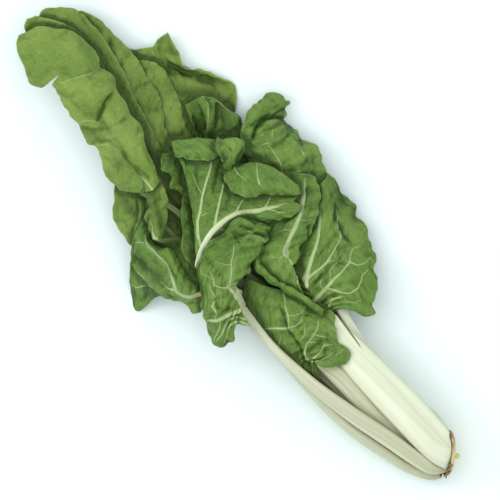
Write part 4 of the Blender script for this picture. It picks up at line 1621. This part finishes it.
# The leaf with the forked white rib; its far margin is rolled back over it.
leaf(
    "centre_curled", salt=15, face=1, mid=5, rib_rows=13, rib=(6, 2), ruffle=0.3, waves=5, pleat=0,
    pitch=0.9,
    notches=[(1.8, 2.5, 351.5, -10.5), (1.2, 3, 283.5, -30)],
    veins=[
        (1.2, 1.1, [(286, 34), (297, 27), (305, 19.5), (310, 11.5)], (-1, 0.62)),
        (1.1, 0.9, [(310, 11.5), (317, 2), (323, -8), (328, -18), (333, -25)], (-1, 0.62)),
        (1.2, 0.7, [(292, 12), (297, 5), (303, -4), (308, -12), (313.5, -21)], (-1, 0.62)),
        (0.8, 0.5, [(288, -10), (290, -17), (291.5, -24)], (-1, 0.62)),
        (0.7, 0.4, [(273, -27), (268, -32), (263, -34), (258, -38)], (-1, 0.62)),
        (0.8, 0.5, [(273, -27), (274, -33), (277, -41)], (-1, 0.62)),
        (0.5, 0.3, [(306, 13), (304, 8)], (-1, 0.62)),
        (0.5, 0.3, [(320, 0), (330, -3), (336, -6)], (-1, 0.62)),
        (0.6, 0.4, [(291, 9), (286, 10), (283, 8)], (-1, 0.62)),
        (0.6, 0.4, [(303, -34), (310, -33), (315, -34.5)], (0.62, 1)),
        (0.7, 0.4, [(291, -41), (297, -44.5), (304, -50.5)], (0.62, 1)),
        (0.4, 0.3, [(319, -42), (320, -50)], (0.62, 1)),
    ],
    folds=[
        (-2.4, 2.2, [(306, 6), (313, -7), (321, -20), (327, -31)], (-1, 0.62)),
        (-1.8, 3.5, [(295, -2), (299, -12), (302, -20)], (-1, 0.62)),
        (1.6, 3, [(298, 20), (306, 6), (314, -8)], (-1, 0.62)),
        (1.2, 2.6, [(296, -14), (306, -24)], (-1, 0.62)),
        (-1.8, 2.6, [(318, 6), (330, -6), (340, -14)], (-1, 0.62)),
        (-3.2, 1.6, [(306, -32), (313, -33), (317, -38), (317.5, -46)], (0.62, 1)),
        (-4, 1.7, [(316, -31), (324, -31), (333, -36), (342, -42)], (0.62, 1)),
        (2.6, 4, [(320, -38), (328, -42), (336, -47)], (0.62, 1)),
        (1.8, 4, [(322, -44), (330, -42)], (0.62, 1)),
        (1.8, 5, [(282, -44), (296, -36), (305, -28)], (0.62, 1)),
        (-1.4, 2.2, [(270, -56), (284, -52), (292, -46)], (0.62, 1)),
        (1.4, 4, [(350, -26), (358, -16)], (0.62, 1)),
        (-3, 1.5, [(342.5, -43), (337, -39), (332.5, -35.5), (326.5, -33.5)], (0.62, 1)),
        (-2.4, 1.5, [(328.5, -32.5), (322.5, -35), (318.5, -37.5)], (0.62, 1)),
        (2.2, 4.5, [(333, -45), (327, -43)], (0.62, 1)),
        (-2.2, 1.4, [(352, -11), (346.5, -12.5), (345, -20)], (0.62, 1)),
        (-2.2, 1.4, [(345, -20), (336.5, -20.5), (335, -25)], (0.62, 1)),
        (1.6, 3, [(362, -10), (360, -16), (355, -25)], (0.62, 1)),
        (-1.6, 1.6, [(320, -26), (312.5, -25), (306.5, -25)], (0.62, 1)),
        (1.2, 3, [(303.5, -46), (295.5, -42), (288.5, -35)], (0.62, 1)),
    ],
    stem=[
        (56, 18, 29, 7, 3.5, 0), (85, 21, 32, 12, 4.5, 0), (130, 22, 35, 13, 4.5, 0),
        (175, 26, 37, 12, 4.5, 0), (205, 30, 37.5, 11, 4, 0), (235, 38, 41, 9, 4, 0),
        (260, 46.5, 51, 7, 3.5, 0),
    ],
    rows=[
        [(298, 29, 56), (296, 31, 57), (293, 34, 57), (289, 38, 57),
         (285, 41, 57), (279, 45, 55), (272, 39, 53), (265, 34, 49)],
        [(326, 7, 57), (320, 12, 58), (313, 17, 58), (303, 24, 59),
         (294, 30, 60), (285, 35, 58), (276, 31, 54), (268, 28, 48)],
        [(352, -10, 60), (349, -7, 59), (344, -3, 58), (328, 3, 58),
         (308, 15, 60), (288, 27, 60), (278, 25, 55), (269, 23, 48)],
        [(357, -6, 64), (362, -8, 64), (367, -13, 58), (342, -13, 56),
         (314, 3, 59), (290, 18, 61), (280, 17, 55), (270, 16, 48)],
        [(348, -12, 64), (354.5, -19, 66), (360.5, -24, 57), (338, -24, 54),
         (314, -6, 58), (290, 9, 61), (280, 9, 55), (270, 8, 48)],
        [(337, -22, 63), (344, -27.5, 65), (352.5, -33, 57), (334.4, -28.5, 53.1),
         (311.8, -8.2, 57.5), (289.6, 5, 60.5), (279.6, 5.4, 54.5), (270, 4.8, 48)],
        [(333, -28, 62), (337, -34, 61), (342, -41, 55), (331.6, -32, 52.4),
         (310, -10, 57.2), (289.2, 1.8, 60.2), (279.2, 2.6, 54.2), (270, 2.4, 48)],
        [(331, -34, 61), (334, -42, 66), (335.5, -50.5, 57), (328.3, -34, 51.9),
         (308.1, -11.5, 56.8), (288.7, -0.9, 59.9), (278.8, 0.3, 53.9), (269.9, 0.5, 47.9)],
        [(325.5, -33.5, 60), (328, -45, 67), (328.5, -55, 57), (319.8, -34, 51.4),
         (303.6, -14, 55.8), (287.2, -5.4, 59.4), (277.8, -3.2, 53.4), (269.4, -2, 47.4)],
        [(320, -27, 59), (321, -40, 64), (322, -53.5, 55), (313.9, -34, 51),
         (300.4, -15.8, 55.1), (286.1, -8.5, 59), (277.1, -5.6, 53), (269.1, -3.8, 47)],
        [(317, -24.5, 59), (316.5, -31, 60.5), (316.5, -38.5, 54), (309, -34, 51),
         (297.6, -19.2, 54.6), (284, -11.8, 58.2), (275.4, -9.2, 52.6), (267.8, -7.2, 46.6)],
        [(313, -21.5, 60.5), (312, -34, 64), (309, -47.5, 55), (303, -38, 51),
         (294, -24, 54), (281, -16, 57), (273, -14, 52), (266, -12, 46)],
        [(300, -20, 61), (300, -37, 65), (298, -56, 54), (292, -44, 50),
         (285, -32, 53), (276, -22, 56), (268, -21, 51), (261, -23, 45)],
        [(287, -27, 60), (286, -42, 64), (281, -61, 53), (279, -50, 50),
         (275, -39, 52), (272, -29, 54), (263, -31, 49), (254, -35, 44)],
        [(278, -40, 57), (274, -52, 60), (268, -62.5, 53), (269, -54, 49),
         (268, -46, 51), (266, -38, 52), (259, -42, 48), (250, -44, 43)],
        [(262, -55, 52), (261, -57, 53), (260, -59, 51), (260, -57, 49),
         (260, -54, 49), (260, -50, 49), (257, -51, 47), (253, -52, 45)],
    ],
)
# The frilled leaf of the upper left petiole, the highest one.
leaf(
    "centre_top", salt=16, crown_angle=19, crown_width=8.6, face=1, mid=3, rib_rows=6, rib=(7, 5.5),
    ruffle=1.5, waves=7, pleat=0.9, right_from=5, petiole="pale", pitch=0.9, midrib=0.3,
    dull=[(0.6, 180, 222)],
    veins=[
        (2, 1.2, [(226, 46), (228, 52), (230.5, 57), (232, 62), (234, 67), (238, 71)]),
        (0.7, 0.5, [(218, 49.5), (223, 52), (226, 56), (227, 61), (226, 66), (223, 72), (222, 79)]),
        (0.8, 0.5, [(213, 50.5), (219, 53), (222.5, 57), (223.5, 61), (222.5, 66), (219, 71), (217, 76)]),
        (0.6, 0.5, [(232, 65), (228, 70), (226, 75), (224, 80)]),
        (0.9, 0.6, [(240, 63), (245, 61.5), (247, 57.5)]), (1.6, 1.3, [(236, 42), (241, 41), (247, 40.5)]),
        (0.7, 0.4, [(247, 41), (251, 45), (257, 47.5), (261, 44), (267, 42)]),
        (0.9, 0.4, [(247, 40), (250, 35), (256, 27.5), (260, 24.5), (264, 18), (269, 12)]),
        (0.5, 0.3, [(259, 25.5), (263, 29), (269, 32.5)]), (0.5, 0.4, [(250, 54), (255, 53), (259, 50)]),
        (0.4, 0.3, [(261, 45), (270, 47), (276, 43)]), (0.5, 0.3, [(251, -9), (262, -6), (272, -5)]),
    ],
    folds=[
        (-1.5, 1, [(220, 50.5), (224.5, 54.5), (225.3, 60), (224, 68)]),
        (-2.2, 1.2, [(224, 49), (228, 54.5), (229, 61), (229, 66)]),
        (1.4, 2, [(227, 48), (231, 57), (233, 65)]), (-2.8, 1.8, [(232, 49), (235, 57), (236.5, 64)]),
        (-2.2, 1.6, [(238, 57), (242, 60), (246, 56)]), (-1.6, 2, [(240, 46), (246, 51), (250, 60)]),
        (1.4, 3, [(240, 50), (246, 46)]), (-1.6, 1.8, [(252, 39), (262, 37.5), (281, 36)]),
        (1.2, 4.5, [(262, 33), (272, 30)]), (-1.6, 2, [(258, 10), (268, 7), (280, 3)]),
        (1.3, 4, [(255, 14), (262, 8)]), (1.6, 1.4, [(254, -14), (266, -12), (281, -8)]),
        (-1.6, 1.2, [(256, -11), (268, -8), (280, -4)]), (1.4, 1.6, [(256, -7), (268, -4), (278, 0)]),
        (-1.4, 1.4, [(257, -3), (270, 1), (280, 5)]), (1.2, 4, [(262, 54), (270, 44)]),
    ],
    stem=[
        (15, 26.6, 33.5, 12, 4.5, 44), (30, 30.2, 38.5, 14.5, 5, 38), (60, 35, 43, 16, 5, 36),
        (100, 42.5, 46, 16, 5, 42), (140, 47.5, 48, 15, 5, 55), (180, 49, 52, 9, 4.5, 50),
        (205, 47.3, 56, 6.8, 4, 30),
    ],
    rows=[
        [(212, 50.5, 56), (215, 50, 58), (218, 48.5, 59), (222, 44.8, 59),
         (223, 42, 56), (224, 40, 53), (225, 39, 50)],
        [(220, 58, 57), (222, 53, 60), (224, 48, 60), (226, 43.6, 59),
         (226.5, 41, 56), (227, 39, 53), (228, 38, 50)],
        [(215, 67, 54), (220.5, 60, 61), (225, 51, 62), (229, 42.3, 60),
         (229.5, 39, 57), (230, 37.5, 53), (231, 36, 50)],
        [(213, 73.5, 51), (220, 66, 59), (227, 54, 63), (233, 40.8, 60.5),
         (233.5, 37.5, 57), (234, 36, 54), (235, 34, 50)],
        [(217, 81, 49), (222, 73, 58), (229, 59, 64), (237, 39, 61),
         (237.5, 36, 58), (238, 34.5, 55), (239, 32, 51)],
        [(231, 81, 48), (234, 69, 61), (238, 55, 66), (243, 36.5, 61.5),
         (243.5, 33.5, 61), (244, 31.5, 60), (245, 28.5, 57)],
        [(248, 69, 50), (248, 61, 61), (248, 50, 67), (248, 37, 64),
         (247, 34, 64), (245, 29, 62), (244.5, 23, 57)],
        [(264, 58, 51), (262, 54, 61), (258, 47, 68), (252, 33, 66),
         (250, 28, 66), (248, 21, 64), (246, 14, 58)],
        [(277, 46.5, 54), (273, 43, 63), (267, 36, 69), (258, 25, 68),
         (256, 20, 68), (252, 12, 65), (249, 5, 59)],
        [(284, 36, 57), (279, 31, 64), (273, 25, 69), (264, 16, 68),
         (261, 11, 67), (256, 4, 64), (251, -2, 57)],
        [(284, 20, 56), (280, 18, 63), (275, 14, 68), (269, 7, 67),
         (265, 2, 66), (259, -4, 63), (253, -9, 55)],
        [(284, 5, 54), (281, 4, 61), (276, 2, 65), (270, -1, 64),
         (266, -5, 63), (260, -9, 60), (254, -14, 53)],
        [(283, -8, 51), (280, -8, 57), (275, -9, 60), (269, -10, 60),
         (266, -12, 59), (262, -15, 56), (258, -18, 51)],
        [(275, -14, 50), (274, -15, 51), (271, -16, 52), (268, -17, 52),
         (266, -18, 52), (264, -19, 51), (262, -20, 49)],
    ],
)

# ---- The shade among the leaves ------------------------------------------------------------------
# Little light falls between the leaves, and their skin is duller there. Each leaf's points are marked
# with how deep they lie among the leaves round them, near by and further off.

SHADE_REACHES = ((2.6, 2, 0.9), (5.0, 6, 0.24), (12.0, 30, 0.16))
SHADE_SHARE = 0.5
TALL_SHADE_SHARE = 0.36


def shade_hollows():
    """Marks how deep each point of the leaves lies among the leaves round it."""
    for piece in bunch:
        count = len(piece.data.vertices)
        points = np.empty(count * 3, np.float32)
        piece.data.vertices.foreach_get("co", points)
        points = points.reshape(-1, 3) / MM + (LENGTH / 2, 0, 0)
        deep = np.zeros(count)
        for reach, passes, spare in SHADE_REACHES:
            level = read_field(blurred(settled, passes), points)
            deep += np.clip((level - points[:, 2]) / reach - spare, 0, 0.9)
        share = TALL_SHADE_SHARE if piece.name.startswith("tall_") else SHADE_SHARE
        layer = piece.data.attributes.new("deep", "FLOAT", "POINT")
        layer.data.foreach_set("value", np.clip(share * deep, 0, 0.66).astype(np.float32))


shade_hollows()

# ---- The cut crown -------------------------------------------------------------------------------
# The stems grow from a short woody crown, cut through below with a knife. The cut face is domed and
# dry, brown round its rim, and a small stump and a few cut rootlets stand out of it.

CROWN_RADIUS = 19.6
CROWN_DOME = 5.5
CROWN_SIDES = 72
CROWN_BACK = 18.2
CORE_END = np.array([45.0, 16.0, 23.0])
CORE_WIDE = 10
CORE_TAPER = 5.5


def ring(centre, across, up, radius, sides):
    """A ring of points round a centre, in the plane of two directions."""
    angle = -2 * np.pi * np.arange(sides) / sides
    radius = np.broadcast_to(radius, sides)
    return centre + np.outer(radius * np.cos(angle), across) + np.outer(radius * np.sin(angle), up)


def crown_finish():
    """Dry cut flesh within a rim of bark, both with dark grains."""
    made, shader, add, link = new_material("cut_crown", {"Roughness": 0.8, "Specular IOR Level": 0.25})
    place = add("ShaderNodeTexCoord").outputs["Object"]
    cut_face = told(add, "face")
    patches = stretch(add, link, speckle(add, link, place, 160.0, 4.0), 0.35, 0.65)
    flesh = blended(add, link, patches, paint(200, 180, 136), paint(224, 212, 172))
    bark = blended(add, link, patches, paint(160, 136, 92), paint(212, 196, 154))
    skin = blended(add, link, cut_face, bark, flesh)
    grains = stretch(add, link, speckle(add, link, place, 620.0), 0.56, 0.68)
    skin = blended(add, link, reckon(add, link, "MULTIPLY", grains, 0.5), skin, paint(104, 80, 48))
    link(skin, shader.inputs["Base Color"])
    roughen(add, link, shader, speckle(add, link, place, 420.0, 5.0), 0.6, 0.0012)
    return made


def cut_crown():
    """The domed cut face, and behind it the core that the inner leaves grow from."""
    rings = []
    face = []
    turns = np.arange(CROWN_SIDES)
    for share in np.concatenate([np.linspace(0.06, 0.9, 15), [0.95, 0.985, 1.0]]):
        depth = -CROWN_DOME * math.sqrt(max(0, 1 - share**3))
        dent = 1 + 0.03 * share * np.cos(5 * -2 * np.pi * turns / CROWN_SIDES)
        lump = 0.45 * wander(turns * 0.4, share * 14.0 + 0 * turns, 2.3, 3) * min(1, share * 3)
        middle = CROWN_CENTRE + cut_inward * depth
        body = ring(middle, cut_left, cut_up, CROWN_RADIUS * share * dent, CROWN_SIDES)
        rings.append(body + lump[:, None] * -cut_inward)
        face.append(np.full(CROWN_SIDES, float(smooth(1.0, 0.86, share))))
    for share in (0.0, 0.1, 0.25, 0.5, 0.75, 1.0):
        middle = CROWN_CENTRE + (CORE_END - CROWN_CENTRE) * share
        across = unit(cut_left * (1 - share) + np.array([0, 1, 0]) * share)
        radius = CORE_WIDE - CORE_TAPER * share**2 if share else CROWN_BACK
        rings.append(ring(middle, across, cut_up, radius, CROWN_SIDES))
        face.append(np.zeros(CROWN_SIDES))
    rings = np.array(rings)
    vertices, faces, attributes, uv = tube(rings, {"face": np.array(face)}, rings[..., :2])
    piece = mesh_piece("cut_crown_face", vertices, faces, attributes, uv, crown_finish())
    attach(piece, "root")
    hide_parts("crown")


cut_crown()


# The stump's height above its root and its radius there, and the way it leans.
STUMP_PROFILE = [(-1, 1.6), (0, 1.9), (1.5, 2.3), (3.2, 2.2), (4.2, 1.5), (4.6, 0.6)]
STUMP_LEAN = (-0.75, -0.4, 0.5)
STUMP_SIDES = 28


def leaf_stump():
    """The pale green stump of a small leaf that was cut off on the crown."""
    made, shader, add, link = new_material("leaf_stump_skin", {"Roughness": 0.45})
    place = add("ShaderNodeTexCoord").outputs["Object"]
    patches = stretch(add, link, speckle(add, link, place, 300.0), 0.35, 0.65)
    link(blended(add, link, patches, paint(176, 176, 96), paint(214, 218, 140)), shader.inputs["Base Color"])
    base = CROWN_CENTRE + cut_up * 9 - cut_inward * (CROWN_DOME - 0.5) + cut_left * 2.4
    axis = unit(np.array(STUMP_LEAN))
    across = unit(np.cross(axis, cut_up))
    up = unit(np.cross(across, axis))
    profile = spline(STUMP_PROFILE, np.linspace(0, len(STUMP_PROFILE) - 1, 21))
    rings = np.array([ring(base + axis * h, across, up, r, STUMP_SIDES) for h, r in profile[::-1]])
    vertices, faces, attributes, uv = tube(rings, {}, rings[..., :2])
    piece = mesh_piece("leaf_stump", vertices, faces, attributes, uv, made)
    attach(piece, "root")
    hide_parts("stub")


leaf_stump()

# ---- The rootlets --------------------------------------------------------------------------------
# A few thin roots were left round the lower rim of the crown when it was trimmed. They are woody and
# dark, cut short, and each leans its own way.

# The inputs of the rootlets' tree: how many, how long and thick in metres, and how far they lean.
ROOTLETS = {
    "Count": ("NodeSocketInt", 22),
    "Length": ("NodeSocketFloat", 0.0036),
    "Thickness": ("NodeSocketFloat", 0.0009),
    "Lean": ("NodeSocketFloat", 0.75),
    "Seed": ("NodeSocketInt", 4),
}
# The stretch of the rim where they stand, in degrees up from its left side, and the points along it.
ROOTLET_STRETCH = (-48, 60)
RIM_POINTS = 33


def rootlet_tree(bark):
    """Geometry nodes that stand tapering stubs along a line, each leaning its own way."""
    tree = bpy.data.node_groups.new("rootlets_on_rim", "GeometryNodeTree")
    tree.interface.new_socket(name="Rim", in_out="INPUT", socket_type="NodeSocketGeometry")
    sockets = {}
    for name, (kind, value) in ROOTLETS.items():
        socket = tree.interface.new_socket(name=name, in_out="INPUT", socket_type=kind)
        socket.default_value = value
        sockets[socket.identifier] = value
    tree.interface.new_socket(name="Rootlets", in_out="OUTPUT", socket_type="NodeSocketGeometry")
    add = adder(tree)

    def fed(kind, sources, **settings):
        node = add(kind, **settings)
        for key, source in sources.items():
            tree.links.new(source, node.inputs[key])
        return node

    given = add("NodeGroupInput").outputs
    line = fed("GeometryNodeMeshToCurve", {"Mesh": given["Rim"]})
    spots = fed("GeometryNodeResampleCurve", {"Curve": line.outputs[0], "Count": given["Count"]})
    tip = fed("ShaderNodeMath", {0: given["Thickness"]}, operation="MULTIPLY")
    tip.inputs[1].default_value = 0.55
    sizes = {"Radius Top": tip.outputs[0], "Radius Bottom": given["Thickness"], "Depth": given["Length"]}
    root = fed("GeometryNodeMeshCone", sizes, Vertices=9, **{"Side Segments": 4})
    way = fed("FunctionNodeRandomValue", {"Seed": given["Seed"]}, data_type="FLOAT_VECTOR")
    way.inputs["Min"].default_value = (-1, -1, -1)
    way.inputs["Max"].default_value = (1, 1, 1)
    lean = fed("ShaderNodeVectorMath", {0: way.outputs[0]}, operation="SCALE")
    tree.links.new(given["Lean"], lean.inputs["Scale"])
    outward = add("GeometryNodeInputNamedAttribute", data_type="FLOAT_VECTOR", Name="outward")
    aim = fed("ShaderNodeVectorMath", {0: outward.outputs["Attribute"], 1: lean.outputs["Vector"]})
    turn = fed("FunctionNodeAlignRotationToVector", {"Vector": aim.outputs["Vector"]}, axis="Z")
    growth = fed("FunctionNodeRandomValue", {"Seed": given["Seed"]}, data_type="FLOAT")
    growth.inputs[2].default_value = 0.35
    growth.inputs[3].default_value = 1.2
    stand = fed("GeometryNodeInstanceOnPoints", {
        "Points": spots.outputs[0],
        "Instance": root.outputs["Mesh"],
        "Rotation": turn.outputs["Rotation"],
        "Scale": growth.outputs[1],
    })
    real = fed("GeometryNodeRealizeInstances", {"Geometry": stand.outputs["Instances"]})
    skin = fed("GeometryNodeSetMaterial", {"Geometry": real.outputs["Geometry"]}, Material=bark)
    fed("NodeGroupOutput", {"Rootlets": skin.outputs["Geometry"]})
    return tree, sockets


def rootlets():
    """Grows the rootlets along the rim of the crown, as one mesh."""
    made, shader, add, link = new_material("rootlet_bark", {"Roughness": 0.85})
    place = add("ShaderNodeTexCoord").outputs["Object"]
    patches = stretch(add, link, speckle(add, link, place, 520.0), 0.35, 0.65)
    link(blended(add, link, patches, paint(70, 58, 36), paint(170, 150, 108)), shader.inputs["Base Color"])
    turns = np.radians(np.linspace(*ROOTLET_STRETCH, RIM_POINTS))
    away = np.outer(np.cos(turns), cut_left) + np.outer(np.sin(turns), cut_up)
    rim = CROWN_CENTRE + away * (CROWN_RADIUS - 0.9) + cut_inward * 0.8
    mesh = bpy.data.meshes.new("rim_line")
    mesh.from_pydata((rim - (LENGTH / 2, 0, 0)) * MM, [(i, i + 1) for i in range(len(rim) - 1)], [])
    layer = mesh.attributes.new("outward", "FLOAT_VECTOR", "POINT")
    layer.data.foreach_set("vector", (away - cut_inward * 0.5).astype(np.float32).ravel())
    line = bpy.data.objects.new("rim_line", mesh)
    bpy.context.collection.objects.link(line)
    tree, sockets = rootlet_tree(made)
    grow = line.modifiers.new("rootlets", "NODES")
    grow.node_group = tree
    for identifier, value in sockets.items():
        grow[identifier] = value
    ready = line.evaluated_get(bpy.context.evaluated_depsgraph_get())
    grown = bpy.data.meshes.new_from_object(ready)
    line.modifiers.remove(grow)
    bpy.data.objects.remove(line)
    bpy.data.node_groups.remove(tree)
    grown.name = "crown_rootlets"
    piece = bpy.data.objects.new("crown_rootlets", grown)
    bpy.context.collection.objects.link(piece)
    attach(piece, "root")


rootlets()
